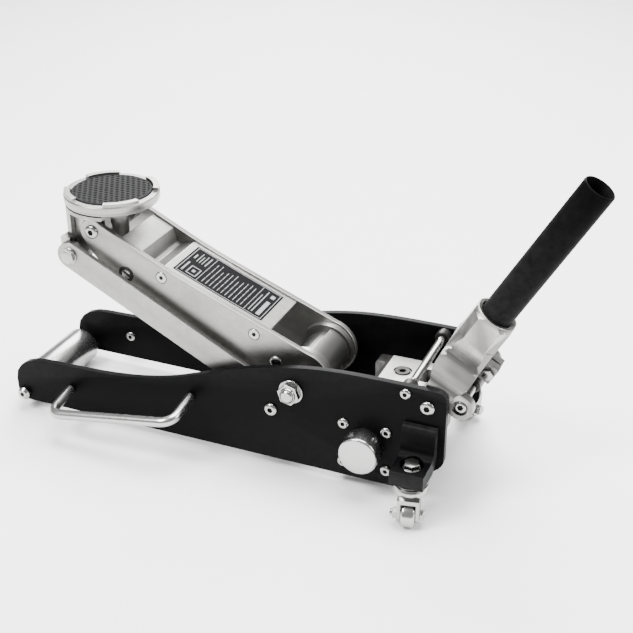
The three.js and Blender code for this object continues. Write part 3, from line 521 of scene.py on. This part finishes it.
def hexagon(across, low, high):
    """A hexagon nut or head with its corners turned off."""
    work = bmesh.new()
    radius = across / math.sqrt(3) * MM
    bmesh.ops.create_cone(work, cap_ends=True, segments=6, radius1=radius, radius2=radius,
                          depth=(high - low) * MM)
    bmesh.ops.translate(work, vec=(0, 0, (low + high) / 2 * MM), verts=work.verts[:])
    crown = [edge for edge in work.edges if abs(edge.verts[0].co.z - edge.verts[1].co.z) < 1e-7
             and edge.verts[0].co.z > (low + high) / 2 * MM]
    bmesh.ops.bevel(work, geom=crown, offset=0.55 * MM, offset_type="OFFSET", segments=2, profile=0.5,
                    affect="EDGES", clamp_overlap=True, material=-1)
    return work


def joined(*parts):
    """Several bmeshes as one."""
    whole = bmesh.new()
    for part in parts:
        mesh = bpy.data.meshes.new("part")
        part.to_mesh(mesh)
        part.free()
        whole.from_mesh(mesh)
        bpy.data.meshes.remove(mesh)
    return whole


def tube_piece(name, points, radius, body, slot, material, stands_for):
    """A bent round bar along smooth points, as a mesh."""
    curve = bpy.data.curves.new(name + "_line", "CURVE")
    curve.dimensions = "3D"
    curve.bevel_depth = radius * MM
    curve.bevel_resolution = 5
    curve.use_fill_caps = True
    line = curve.splines.new("POLY")
    line.points.add(len(points) - 1)
    for point, place in zip(line.points, points):
        point.co = (*place, 1)
    holder = bpy.data.objects.new(name + "_line", curve)
    mesh = bpy.data.meshes.new_from_object(holder)
    mesh.name = name
    bpy.data.objects.remove(holder)
    work = bmesh.new()
    work.from_mesh(mesh)
    bpy.data.meshes.remove(mesh)
    return from_bmesh(name, work, IN_PLACE, body, slot, material, smooth=50.0, edge=0.5 * MM,
                      stands_for=stands_for)


def refined(node, body, slot, material, width, segments=2, fold=28.0):
    """The node's own shape with its flat faces made whole and its edges rounded."""
    work = bmesh.new()
    work.from_mesh(NODES[node].data)
    bmesh.ops.remove_doubles(work, verts=work.verts[:], dist=3e-6)
    bmesh.ops.dissolve_limit(work, angle_limit=math.radians(0.6), use_dissolve_boundaries=False,
                             verts=work.verts[:], edges=work.edges[:])
    piece = from_bmesh(node + "_shape", work, IN_PLACE, body, slot, material, smooth=fold, stands_for=(node,))
    round_edges(piece, width, segments, fold, harden=False)
    even = piece.modifiers.new("even_shading", "WEIGHTED_NORMAL")
    even.mode = "FACE_AREA"
    even.weight = 60
    even.keep_sharp = False
    return piece


def out_y(s):
    return (0, s, 0)


def refined_set(rows):
    """Refined copies from (node, body, slot, material, edge in millimetres) rows."""
    for node, body, slot, material, width in rows:
        refined(node, body, slot, material, width * MM)


def shifted(work, lift):
    """Moves a bmesh along Z by millimetres."""
    bmesh.ops.translate(work, vec=(0, 0, lift * MM), verts=work.verts[:])
    return work


def rod_head(head, s, reach):
    """Turns a head to one end of a rod along Z, reach metres from its middle."""
    bmesh.ops.transform(head, matrix=Matrix.Translation((0, 0, s * reach)) @ facing((0, 0, s)),
                        verts=head.verts[:])
    return head


def rod(radius, low, high, steps=SHANK_STEPS):
    """A plain round shank."""
    return turned([[0, low], [radius, low], [radius, high], [0, high]], steps)


def on_face(where, y, s, turn=0.0):
    """A place at a piece's x and z and a given y, facing out to a side."""
    return place_at(Vector((where.x, y, where.z)), out_y(s), turn)


def span(node):
    """Half the width of a node across the jack, in millimetres."""
    low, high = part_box(node)
    return (high.y - low.y) / 2 / MM


def screw(name, point, outward, radius, height, key, body):
    return from_bmesh(name, button_head(radius, height, key), place_at(point, outward), body, *ZINC,
                      smooth=40.0)


# ---------------------------------------------------------------- chassis
class JACK_OT_plates(bpy.types.Operator):
    """Finish the side plates and add the screws through them."""

    bl_idname = "jack.plates"
    bl_label = "Side plates"

    def execute(self, context):
        for name, s in SIDES:
            refined(f"side_plate_{name}", "chassis", *COAT, shape().edge)
            face = s * PLATE_OUTER / MM
            for k, (x, z) in enumerate(((356, 69), (398, 69), (398.7, 27), (356, 27))):
                screw(f"plate_screw_{name}_{k}", spot(x, face, z), out_y(s), 5.6, 3.4, 2.4, "chassis")
            for k, (x, z) in enumerate(GRIP_FEET):
                screw(f"handle_fixing_{name}_{k}", spot(x, s * PLATE_INNER / MM, z), out_y(-s), 5.4, 2.2, 2.3,
                      "chassis")
        return {"FINISHED"}


class JACK_OT_pivots(bpy.types.Operator):
    """Build the main pivot, its nuts and the fasteners of the chassis."""

    bl_idname = "jack.pivots"
    bl_label = "Pivots and fasteners"

    def execute(self, context):
        refined_set((("main_pivot_shaft", "chassis", *ZINC, 0.4), ("roller_axle", "chassis", *ZINC, 0.4)))
        low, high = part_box("roller_axle")
        for name, s in SIDES:
            key = rod(2.5, -0.4, 0.08, KEY_STEPS)
            hexagon_recess(key, 2.6, 1.0)
            from_bmesh(f"axle_key_{name}", key, on_face(ROLLER, high.y if s > 0 else low.y, s),
                       "chassis", *DARK)
        face = PLATE_OUTER / MM
        for name, s in SIDES:
            washer = turned(ring(7.2, 12.2, 0.3, 2.2, 0.5))
            nut = hexagon(19, 2.3, 8.8)
            collar = turned([[6.8, 8.6], [8.1, 8.6], [8.1, 9.6], [7.6, 10.6], [6.9, 11.0], [6.8, 10.4],
                             [6.8, 8.6]])
            from_bmesh(f"pivot_nut_{name}", joined(washer, nut, collar),
                       on_face(PIVOT, s * PLATE_OUTER, s, 0.3), "chassis", *ZINC,
                       stands_for=(f"main_pivot_nut_{name}",), edge=0.25 * MM)
            refined(f"pivot_bush_{name}", "chassis", *DARK, 0.4 * MM)
            for kind, head_r, key, shank_r in (("link_screw", 6.7, 3.0, 5.0),
                                               ("socket_screw", 7.0, 3.2, 6.0)):
                node = f"{kind}_{name}"
                low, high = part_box(node)
                head = shifted(button_head(head_r, 4.0, key), PLATE_HEAD_GAP)
                depth = (abs(low.y if s > 0 else high.y) - PLATE_OUTER) / MM
                from_bmesh(f"{node}_piece", joined(head, rod(shank_r, depth, PLATE_HEAD_GAP + 0.05)),
                           on_face(middle(node), s * PLATE_OUTER, s), "chassis", *ZINC, stands_for=(node,))
        tie = middle("tie_rod")
        heads = [rod_head(shifted(button_head(5.3, 3.2, 2.4), PLATE_HEAD_GAP), s, PLATE_OUTER)
                 for s in (-1, 1)]
        rod_r, root_r, pitch, end = 4.0, 3.7, 1.2, face + 0.2
        threads = [[0, -end], [rod_r, -end], [rod_r, -40]]
        for k in range(-32, 33):
            threads += [[rod_r, k * pitch - 0.3], [root_r, k * pitch + 0.3]]
        threads += [[rod_r, 40], [rod_r, end], [0, end]]
        from_bmesh("tie_rod_piece", joined(turned(threads, 32), *heads),
                   place_at(Vector((tie.x, 0, tie.z)), (0, 1, 0)), "chassis", *ZINC, stands_for=("tie_rod",))
        for name, s in SIDES:
            node = f"tie_rod_spacer_{name}"
            half = span(node)
            from_bmesh(f"spacer_{name}", turned(ring(4.2, 7.5, -half, half, 0.9)),
                       place_at(middle(node), (0, 1, 0)), "chassis", *DARK, stands_for=(node,))
        return {"FINISHED"}


class JACK_OT_roller(bpy.types.Operator):
    """Build the polished front roller."""

    bl_idname = "jack.roller"
    bl_label = "Front roller"

    def execute(self, context):
        low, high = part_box("front_roller")
        bore, half = 6.3, span("front_roller")
        r = (high.z - low.z) / 2 / MM
        end = [[bore, half], [r - 2.6, half], [r - 1.2, half - 0.35], [r - 0.3, half - 1.3], [r, half - 2.6]]
        profile = [[x, -z] for x, z in end] + end[::-1] + [[bore, -half]]
        from_bmesh("roller_drum", turned(profile, FINE_STEPS), place_at(ROLLER, (0, 1, 0)), "front_roller",
                   *SATIN, stands_for=("front_roller",))
        return {"FINISHED"}


class JACK_OT_side_handles(bpy.types.Operator):
    """Build the bent rod handles on both sides."""

    bl_idname = "jack.side_handles"
    bl_label = "Side handles"

    def execute(self, context):
        outer, reach, droop, bend = PLATE_OUTER / MM, 41.0, 7.0, 15.0
        (front_x, front_z), (rear_x, rear_z) = GRIP_FEET
        for name, s in SIDES:
            def at(x, z, out):
                return spot(x, s * out, z - (out - outer) * droop / reach)

            corners = [at(front_x, front_z, outer + 1.2), at(front_x, front_z, outer + reach),
                       at(rear_x, rear_z, outer + reach), at(rear_x, rear_z, outer + 1.2)]
            points = [corners[0]]
            for before, corner, after in zip(corners, corners[1:], corners[2:]):
                start = corner + (before - corner).normalized() * bend * MM
                end = corner + (after - corner).normalized() * bend * MM
                for k in range(13):
                    t = k / 12
                    points.append(start.lerp(corner, t).lerp(corner.lerp(end, t), t))
            points.append(corners[3])
            tube_piece(f"side_grip_{name}", points, 5.0, "chassis", *SATIN, (f"side_handle_{name}",))
        return {"FINISHED"}


class JACK_OT_hydraulics(bpy.types.Operator):
    """Build the hydraulic unit: block, cylinder, rod, caps, plug, plunger and valve."""

    bl_idname = "jack.hydraulics"
    bl_label = "Hydraulic unit"

    def execute(self, context):
        refined_set((("pump_block", "chassis", *CAST, 1.0),
                     ("piston_rod", "ram", *GROUND, 0.6),
                     ("pump_plunger", "plunger", *GROUND, 0.4),
                     ("release_valve", "release_valve", *ZINC, 0.4)))
        low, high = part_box("ram_cylinder")
        centre = middle("ram_cylinder")
        length = (high.x - low.x) / MM
        r, bore = span("ram_cylinder"), 10.4
        gland = [[bore, 0], [r - 6, 0], [r - 6, 1.0], [r - 2, 1.0], [r, 3], [r, length], [bore, length],
                 [bore, 0]]
        from_bmesh("ram_gland", turned(gland), place_at(Vector((low.x, 0, centre.z)), (1, 0, 0)), "chassis",
                   *GROUND, stands_for=("ram_cylinder",), edge=0.3 * MM)
        for name, s in SIDES:
            node = f"end_cap_{name}"
            low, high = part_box(node)
            r, neck_r, neck_deep, seat = (high.z - low.z) / 2 / MM, 14.5, -6.4, 0.3
            top = (max(abs(low.y), abs(high.y)) - PLATE_OUTER) / MM
            profile = [[0, neck_deep], [neck_r, neck_deep], [neck_r, seat], [r, seat], [r, top - 2.2],
                       [r - 0.35, top - 1.1], [r - 1.1, top - 0.35], [r - 2.2, top], [r * 0.5, top], [0, top]]
            from_bmesh(f"round_cap_{name}", turned(profile, FINE_STEPS),
                       on_face(middle(node), s * PLATE_OUTER, s), "chassis", *SATIN, stands_for=(node,))
        low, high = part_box("filler_plug")
        top = (high.z - low.z) / MM
        thread_r, head_r, key = 6, 7.5, 3.2
        plug = turned([[0, 0], [thread_r, 0], [thread_r, top - 1.9], [head_r, top - 1.7], [head_r, top - 0.6],
                       [head_r - 0.6, top], [key + 0.4, top], [key, top - 0.3], [key, top - 2.9],
                       [0, top - 3.2]], HEAD_STEPS)
        hexagon_recess(plug, key + 0.05, top)
        where = middle("filler_plug")
        from_bmesh("plug_screw", plug, place_at(Vector((where.x, 0, low.z))), "chassis", *DARK,
                   stands_for=("filler_plug",))
        return {"FINISHED"}


# ---------------------------------------------------------------- casters
class JACK_OT_casters(bpy.types.Operator):
    """Build the two swivel casters and their brackets."""

    bl_idname = "jack.casters"
    bl_label = "Casters"

    def execute(self, context):
        for name, s in SIDES:
            refined(f"caster_bracket_{name}", "chassis", *COAT, 0.9 * MM)
            swivel = middle(f"caster_bolt_{name}")
            low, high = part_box(f"caster_race_{name}")
            z0, z1 = low.z / MM, high.z / MM
            r, bore = span(f"caster_race_{name}"), 4.4
            race = [[bore, z0], [r - 1.2, z0], [r - 0.2, z0 + 0.4], [r, z0 + 1.0], [r - 0.3, z0 + 1.7],
                    [r - 2.2, z0 + 2.1], [r - 2.6, z0 + 2.4], [r - 1.0, z0 + 2.7], [r - 0.6, z0 + 3.3],
                    [r - 1.0, z0 + 3.9], [r - 2.6, z0 + 4.1], [r - 2.6, z1], [bore, z1], [bore, z0]]
            upright = Matrix.Translation((swivel.x, swivel.y, 0))
            from_bmesh(f"swivel_race_{name}", turned(race), upright, "chassis", *ZINC,
                       stands_for=(f"caster_race_{name}",))
            low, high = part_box(f"caster_bolt_{name}")
            z0, z1 = low.z / MM, high.z / MM
            foot_r, shank_r, shank_top = 6.2, 4, z1 - 6.8
            bolt = joined(
                turned([[0, z0], [foot_r - 0.6, z0], [foot_r, z0 + 0.5], [foot_r, z0 + 2], [shank_r, z0 + 2],
                        [shank_r, shank_top], [0, shank_top]], SHANK_STEPS),
                turned(ring(0.0, 8.6, z1 - 7.0, z1 - 5.6, 0.4), HEAD_STEPS),
                hexagon(13, z1 - 5.6, z1))
            from_bmesh(f"swivel_bolt_{name}", bolt, upright @ Matrix.Rotation(0.35, 4, "Z"), "chassis", *ZINC,
                       stands_for=(f"caster_bolt_{name}",))
            refined_set(((f"caster_fork_{name}", f"caster_{name}", *ZINC, 0.6),
                         (f"caster_axle_{name}", f"caster_{name}", *ZINC, 0.3)))
            wheel = middle(f"caster_wheel_{name}")
            turn = math.radians(12.0)
            axis = Vector((s * math.cos(turn), -math.sin(turn), 0))
            bore, half, r = 3.3, 6.5, 12.5
            face = [[bore, half], [6.0, half], [6.4, half - 0.7], [8.6, half - 0.7], [9.0, half],
                    [r - 2.4, half], [r - 0.9, half - 0.7], [r - 0.2, half - 1.9], [r, half - 3.2]]
            tread = [[x, -z] for x, z in face] + face[::-1] + [[bore, -half]]
            from_bmesh(f"steel_wheel_{name}", turned(tread), place_at(wheel, axis), f"wheel_{name}", *GROUND,
                       stands_for=(f"caster_wheel_{name}",))
        return {"FINISHED"}


# ---------------------------------------------------------------- lift arm and links
class JACK_OT_arm(bpy.types.Operator):
    """Finish the lift arm, its hub and its screws."""

    bl_idname = "jack.arm"
    bl_label = "Lift arm"

    def execute(self, context):
        for name, s in SIDES:
            refined(f"arm_plate_{name}", "lift_arm", *PLATE, 0.8 * MM)
            for k, (u, v) in enumerate(((166, 2.7), (60.7, 10.8))):
                # a dark ring round the screw head: the seat gap, with its painted shadow
                seat_gap_and_shadow = turned(ring(5.5, 6.1, -0.3, 0.12, 0.1), HEAD_STEPS)
                for face in seat_gap_and_shadow.faces:
                    face.material_index = 1
                dimple = rod(2.3, 0.3, 0.42, KEY_STEPS)
                hexagon_recess(dimple, 2.4, 2.0)
                from_bmesh(f"arm_flat_screw_{name}_{k}",
                           joined(seat_gap_and_shadow, turned(ring(0.0, 5.4, -0.3, 0.32, 0.25), HEAD_STEPS), dimple),
                           place_at(on_arm(u, s * ARM_FACE, v), out_y(s)), "lift_arm", *ZINC, smooth=40.0)
            screw(f"arm_button_screw_{name}", on_arm(29, s * ARM_FACE, -1.5), out_y(s), 6.5, 2.6, 2.1,
                  "lift_arm")
            cross = place_at(on_arm(CROSS_BOLT[0], s * ARM_FACE, CROSS_BOLT[1]), out_y(s))
            # a dark flat ring round the cross bolt's head, painted shade of the recess it sits in
            from_bmesh(f"cross_bolt_recess_shade_{name}", turned(ring(4.9, 8.2, -0.2, 0.35, 0.2), HEAD_STEPS), cross,
                       "lift_arm", *DARK)
            from_bmesh(f"cross_bolt_{name}", hexagon(8.4, -0.5, 0.9), cross, "lift_arm", *ZINC)
            node = f"saddle_pivot_bolt_{name}"
            low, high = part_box(node)
            inner, outer = (low.y, high.y) if s > 0 else (high.y, low.y)
            start, head_high = (abs(inner) - abs(outer)) / MM, 3.0
            head = shifted(button_head(7.0, head_high, 3.1), -head_high)
            from_bmesh(f"toe_bolt_{name}", joined(head, rod(5, start, 0.1 - head_high)),
                       on_face(middle(node), outer, s), "lift_arm", *ZINC, stands_for=(node,))
        refined("arm_top_plate", "lift_arm", "cast_alloy", "alloy_top", 0.8 * MM)
        refined("arm_hub", "lift_arm", *CAST, 1.6 * MM, 3)
        refined("arm_pin", "lift_arm", *ZINC, 0.4 * MM)
        return {"FINISHED"}


class JACK_OT_label(bpy.types.Operator):
    """Lay the generic instruction label on the arm's top plate."""

    bl_idname = "jack.label"
    bl_label = "Arm label"

    def execute(self, context):
        # heights of the top plate 60 before its fold, at the fold and 60 past it
        start_top, fold_top, end_top, fold_u = 21.6, 16.0, 11.4, 110
        base_lift, mark_lift = 0.22, 0.3

        def strip(work, u0, u1, y0, y1, lift=mark_lift):
            """A thin patch that follows the top plate's slight fold."""
            part = bmesh.new()
            bmesh.ops.create_grid(part, x_segments=12, y_segments=2, size=0.5)
            for vert in part.verts:
                u = u0 + (vert.co.x + 0.5) * (u1 - u0)
                y = y0 + (vert.co.y + 0.5) * (y1 - y0)
                drop = start_top - fold_top if u < fold_u else fold_top - end_top
                top = fold_top - drop * (u - fold_u) / 60
                vert.co = on_arm(u, y, top + lift)
            bmesh.ops.solidify(part, geom=part.faces[:], thickness=0.12 * MM)
            work.append(part)

        base, marks = [], []
        strip(base, 63, 163, -26.5, 26.5, base_lift)
        frame_lines = ((65, 161, -25.2, -24.6), (65, 161, 24.6, 25.2), (65, 65.6, -25.2, 25.2),
                       (160.4, 161, -25.2, 25.2), (138, 138.5, -24, 24), (84, 84.5, -24, 24))
        lower_block = ((68.5, 72.5, -21, 6), (76.5, 77.5, -21, 21), (80, 80.8, -21, 12), (68.5, 72.5, 13, 19))
        emblem = ((141, 142, -21, -6), (141, 152, -21, -20), (151, 152, -21, -6), (141, 152, -7, -6),
                  (145, 148, -15.5, -11.5))
        upper_block = ((142, 143.2, 3, 20), (146, 146.8, 3, 20), (149, 149.8, 3, 16), (152, 152.8, 3, 20),
                       (155.8, 157.4, -21, -3), (155.8, 157.4, 6, 14))
        for u0, u1, y0, y1 in (*frame_lines, *lower_block, *emblem, *upper_block):
            strip(marks, u0, u1, y0, y1)
        for k in range(11):
            start, line = -21.0, 89 + 4.4 * k
            for word in range(4 + k % 2):
                stop = min(start + 6.5 + (k * 5 + word * 7) % 6, 19.0 - (k * 11) % 9)
                if stop - start > 2:
                    strip(marks, line, line + 0.65, start, stop)
                start = stop + 1.3
        from_bmesh("arm_label", joined(*base), IN_PLACE, "lift_arm", "black_coat", "label")
        from_bmesh("arm_label_marks", joined(*marks), IN_PLACE, "lift_arm", "cast_alloy", "print")
        return {"FINISHED"}


class JACK_OT_links(bpy.types.Operator):
    """Finish the parallelogram links and their pins."""

    bl_idname = "jack.links"
    bl_label = "Links"

    def execute(self, context):
        for name, s in SIDES:
            refined(f"link_bar_{name}", f"link_{name}", *PLATE, 0.8 * MM)
            node = f"link_pin_{name}"
            low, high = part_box(node)
            outer = max(abs(low.y), abs(high.y))
            washer = turned(ring(5.1, 8.4, -4.6, -3.6, 0.3), HEAD_STEPS)
            pin = rod(5, -2 * span(node), -4.4)
            from_bmesh(f"link_bolt_{name}", joined(pin, washer, hexagon(13, -3.6, 0)),
                       on_face(middle(node), s * outer, s, 0.2), "saddle_carrier", *ZINC,
                       stands_for=(node,))
        return {"FINISHED"}


# ---------------------------------------------------------------- saddle
class JACK_OT_saddle(bpy.types.Operator):
    """Build the saddle bracket, the saddle cup with its raised rim and the dimpled pad."""

    bl_idname = "jack.saddle"
    bl_label = "Saddle"

    def execute(self, context):
        refined("saddle_bracket", "saddle_carrier", *CAST, 1.2 * MM, 3)
        refined("saddle_retainer", "saddle", *ZINC, 0.3 * MM)
        self.cup()
        self.pad()
        return {"FINISHED"}

    def cup(self):
        r, end = span("saddle_cup"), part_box("saddle_cup")[0].z / MM
        base = TOE.z / MM
        floor, low_rim, high_rim, inner = base + 19.6, base + 30, base + 33.2, r - 7
        end_r, stem_r, shoulder = 6, 8, base - 16.8
        profile = [[0, end], [end_r - 0.6, end], [end_r, end + 0.6], [end_r, shoulder], [stem_r, shoulder],
                   [stem_r, floor], [r - 3, floor], [r - 1.8, floor + 0.5], [r - 1.1, floor + 1.6],
                   [r - 1.0, floor + 3.0], [r - 0.3, floor + 3.4], [r, floor + 4.0], [r, low_rim - 0.7],
                   [r - 0.7, low_rim], [inner + 0.5, low_rim], [inner, low_rim - 0.5], [inner, floor + 3.6],
                   [0, floor + 3.6]]
        work = turned(profile, 160)
        turn = math.radians(20)
        rim = []
        for face in work.faces:
            centre = face.calc_center_median()
            if abs(face.normal.z) < 0.9 or abs(centre.z - low_rim * MM) > 1e-5:
                continue
            angle = (math.atan2(centre.y, centre.x) - turn) % (math.pi / 2)
            if angle < math.pi / 4:
                rim.append(face)
        grown = bmesh.ops.extrude_face_region(work, geom=rim)
        lifted = [item for item in grown["geom"] if isinstance(item, bmesh.types.BMVert)]
        bmesh.ops.translate(work, vec=(0, 0, (high_rim - low_rim) * MM), verts=lifted)
        bmesh.ops.delete(work, geom=rim, context="FACES")
        from_bmesh("saddle_ring", work, Matrix.Translation((SADDLE.x, 0, 0)), "saddle", "cast_alloy",
                   "alloy_turned",
                   stands_for=("saddle_cup",), edge=0.35 * MM)

    def pad(self):
        low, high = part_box("saddle_pad")
        r, top = span("saddle_pad"), high.z / MM
        rings, spokes, plain_rim = 62, 336, 2.4
        profile = [[0, low.z / MM], [r, low.z / MM], [r, top - 1.3], [r - 0.4, top - 0.4], [r - 1.3, top]]
        profile += [[(r - 1.6) * (1 - k / rings), top] for k in range(rings + 1)]
        work = turned(profile, spokes)
        pitch, reach, depth = shape().dimple_pitch, shape().dimple_r, shape().dimple_depth
        row = pitch * math.sqrt(3) / 2
        for vert in work.verts:
            if vert.co.z < top * MM - 1e-6 or math.hypot(vert.co.x, vert.co.y) > (r - plain_rim) * MM:
                continue
            nearest = min(
                math.hypot(vert.co.x - (round(vert.co.x / pitch - 0.5 * (j % 2)) + 0.5 * (j % 2)) * pitch,
                           vert.co.y - j * row)
                for j in (math.floor(vert.co.y / row), math.floor(vert.co.y / row) + 1))
            dip = max(0.0, min(1.0, (reach - nearest) / (reach * 0.55)))
            vert.co.z -= depth * dip * dip * (3 - 2 * dip)
        # painted shade: faces deep in the dimples take the dark recess material
        for face in work.faces:
            centre = face.calc_center_median()
            inside = math.hypot(centre.x, centre.y) < (r - plain_rim) * MM
            if inside and low.z + 2 * MM < centre.z < top * MM - 0.6 * depth:
                face.material_index = 1
        from_bmesh("dimpled_pad", work, Matrix.Translation((SADDLE.x, 0, 0)), "saddle", "rubber", "rubber",
                   smooth=60.0, stands_for=("saddle_pad",))


# ---------------------------------------------------------------- handle
class JACK_OT_handle(bpy.types.Operator):
    """Build the handle socket, its clamp and the tube."""

    bl_idname = "jack.handle"
    bl_label = "Handle"

    def execute(self, context):
        refined("handle_socket", "socket", *CAST, 1.3 * MM, 3)
        self.cross_pin()
        bore, outer, foot, end = 13, 15, 24, 237
        tube = [[bore, foot], [outer, foot], [outer, end - 1.8], [outer - 0.3, end - 0.7], [outer - 1.0, end],
                [bore + 0.5, end - 0.2], [bore, end - 1], [bore, foot]]
        from_bmesh("handle_bar", turned(tube, FINE_STEPS), place_at(PUMP_PIVOT, HANDLE_DIR), "handle",
                   "tube_coat", "tube_coat", stands_for=("handle_tube",))
        refined_set((("handle_knuckle", "handle", "zinc", "dark", 0.4), ("cam_roller", "socket", *ZINC, 0.3)))
        self.clamp()
        return {"FINISHED"}

    def clamp(self):
        """The bolt and nut that close the socket round the tube."""
        across, head_high, shank_r, length = 10, 4.0, 3, 2 * span("clamp_bolt")
        shank = turned([[0, head_high], [shank_r, head_high], [shank_r, length - 0.6],
                        [shank_r - 0.6, length], [0, length]], 32)
        head = hexagon(across, -head_high, 0.0)
        bmesh.ops.transform(head, matrix=Matrix.Rotation(math.pi, 4, "X"), verts=head.verts[:])
        for name, work, node, turn in (("clamp_screw", joined(shank, head), "clamp_bolt", 0.4),
                                       ("clamp_hexagon", hexagon(across, 0, 2 * span("clamp_nut")),
                                        "clamp_nut", 0.1)):
            where = middle(node)
            from_bmesh(name, work, place_at(Vector((where.x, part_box(node)[0].y, where.z)), (0, 1, 0), turn),
                       "socket", *ZINC, stands_for=(node,))

    def cross_pin(self):
        """The rod across the socket's rear lobes, with a bolt head at each end and a black roller."""
        half, place = span("cross_pin"), place_at(middle("cross_pin"), (0, 1, 0))
        shank = rod(4, -half + 2.5, half - 2.5)
        heads = [rod_head(button_head(6.4, 3.2, 3.0), s, (half - 3) * MM) for s in (-1, 1)]
        from_bmesh("cross_rod", joined(shank, *heads), place, "socket", *ZINC, stands_for=("cross_pin",))
        from_bmesh("cross_roller", turned(ring(4.1, 7.0, -9, 9, 1.2)), place, "socket", *DARK)


# ---------------------------------------------------------------- stage
class JACK_OT_stage(bpy.types.Operator):
    """Set the pale floor, the soft studio lights and the camera."""

    bl_idname = "jack.stage"
    bl_label = "Studio"

    def execute(self, context):
        work = bmesh.new()
        bmesh.ops.create_grid(work, x_segments=1, y_segments=1, size=6.0)
        mesh = bpy.data.meshes.new("studio_floor")
        work.to_mesh(mesh)
        work.free()
        floor = bpy.data.objects.new("studio_floor", mesh)
        mesh.materials.append(MATERIALS["floor"])
        bpy.context.scene.collection.objects.link(floor)
        for name, place, size, power in LIGHTS:
            lamp = bpy.data.lights.new(name, "AREA")
            lamp.shape = "DISK"
            lamp.size = size
            lamp.energy = power
            holder = bpy.data.objects.new(name, lamp)
            bpy.context.scene.collection.objects.link(holder)
            holder.matrix_world = Matrix.Translation(place) @ facing(Vector(place) - Vector((0, 0, 0.1)))
        world = bpy.data.worlds.new("studio_world")
        world.use_nodes = True
        sky = world.node_tree.nodes["Background"]
        sky.inputs["Color"].default_value = (1.0, 1.0, 1.0, 1)
        sky.inputs["Strength"].default_value = WORLD_STRENGTH
        bpy.context.scene.world = world
        lens = bpy.data.cameras.new("camera")
        lens.lens = CAMERA_LENS
        lens.sensor_width = CAMERA_SENSOR
        camera = bpy.data.objects.new("camera", lens)
        camera.location = spot(*CAMERA_AT)
        camera.rotation_euler = (math.radians(CAMERA_TILT), 0, math.radians(CAMERA_TURN))
        bpy.context.scene.collection.objects.link(camera)
        bpy.context.scene.camera = camera
        return {"FINISHED"}


class JACK_PT_panel(bpy.types.Panel):
    """The jack's pieces and finishes."""

    bl_idname = "JACK_PT_panel"
    bl_label = "Trolley jack"
    bl_space_type = "VIEW_3D"
    bl_region_type = "UI"
    bl_category = "Jack"

    def draw(self, context):
        column = self.layout.column(align=True)
        for kind in OPERATORS:
            column.operator(kind.bl_idname)
        for group in (context.scene.jack_shape, context.scene.jack_finish):
            for key in type(group).__annotations__:
                column.prop(group, key)


OPERATORS = (
    JACK_OT_stage, JACK_OT_plates, JACK_OT_pivots, JACK_OT_roller, JACK_OT_side_handles, JACK_OT_hydraulics,
    JACK_OT_casters, JACK_OT_arm, JACK_OT_label, JACK_OT_links, JACK_OT_saddle, JACK_OT_handle,
)
CLASSES = (JackFinish, JackShape, *OPERATORS, JACK_PT_panel)


def register():
    for kind in CLASSES:
        bpy.utils.register_class(kind)
    bpy.types.Scene.jack_finish = PointerProperty(type=JackFinish)
    bpy.types.Scene.jack_shape = PointerProperty(type=JackShape)


def unregister():
    del bpy.types.Scene.jack_shape
    del bpy.types.Scene.jack_finish
    for kind in reversed(CLASSES):
        bpy.utils.unregister_class(kind)


def main():
    register()
    make_materials()
    bpy.ops.jack.stage()
    bpy.ops.jack.plates()
    bpy.ops.jack.pivots()
    bpy.ops.jack.roller()
    bpy.ops.jack.side_handles()
    bpy.ops.jack.hydraulics()
    bpy.ops.jack.casters()
    bpy.ops.jack.arm()
    bpy.ops.jack.label()
    bpy.ops.jack.links()
    bpy.ops.jack.saddle()
    bpy.ops.jack.handle()


if __name__ == "__main__":
    main()
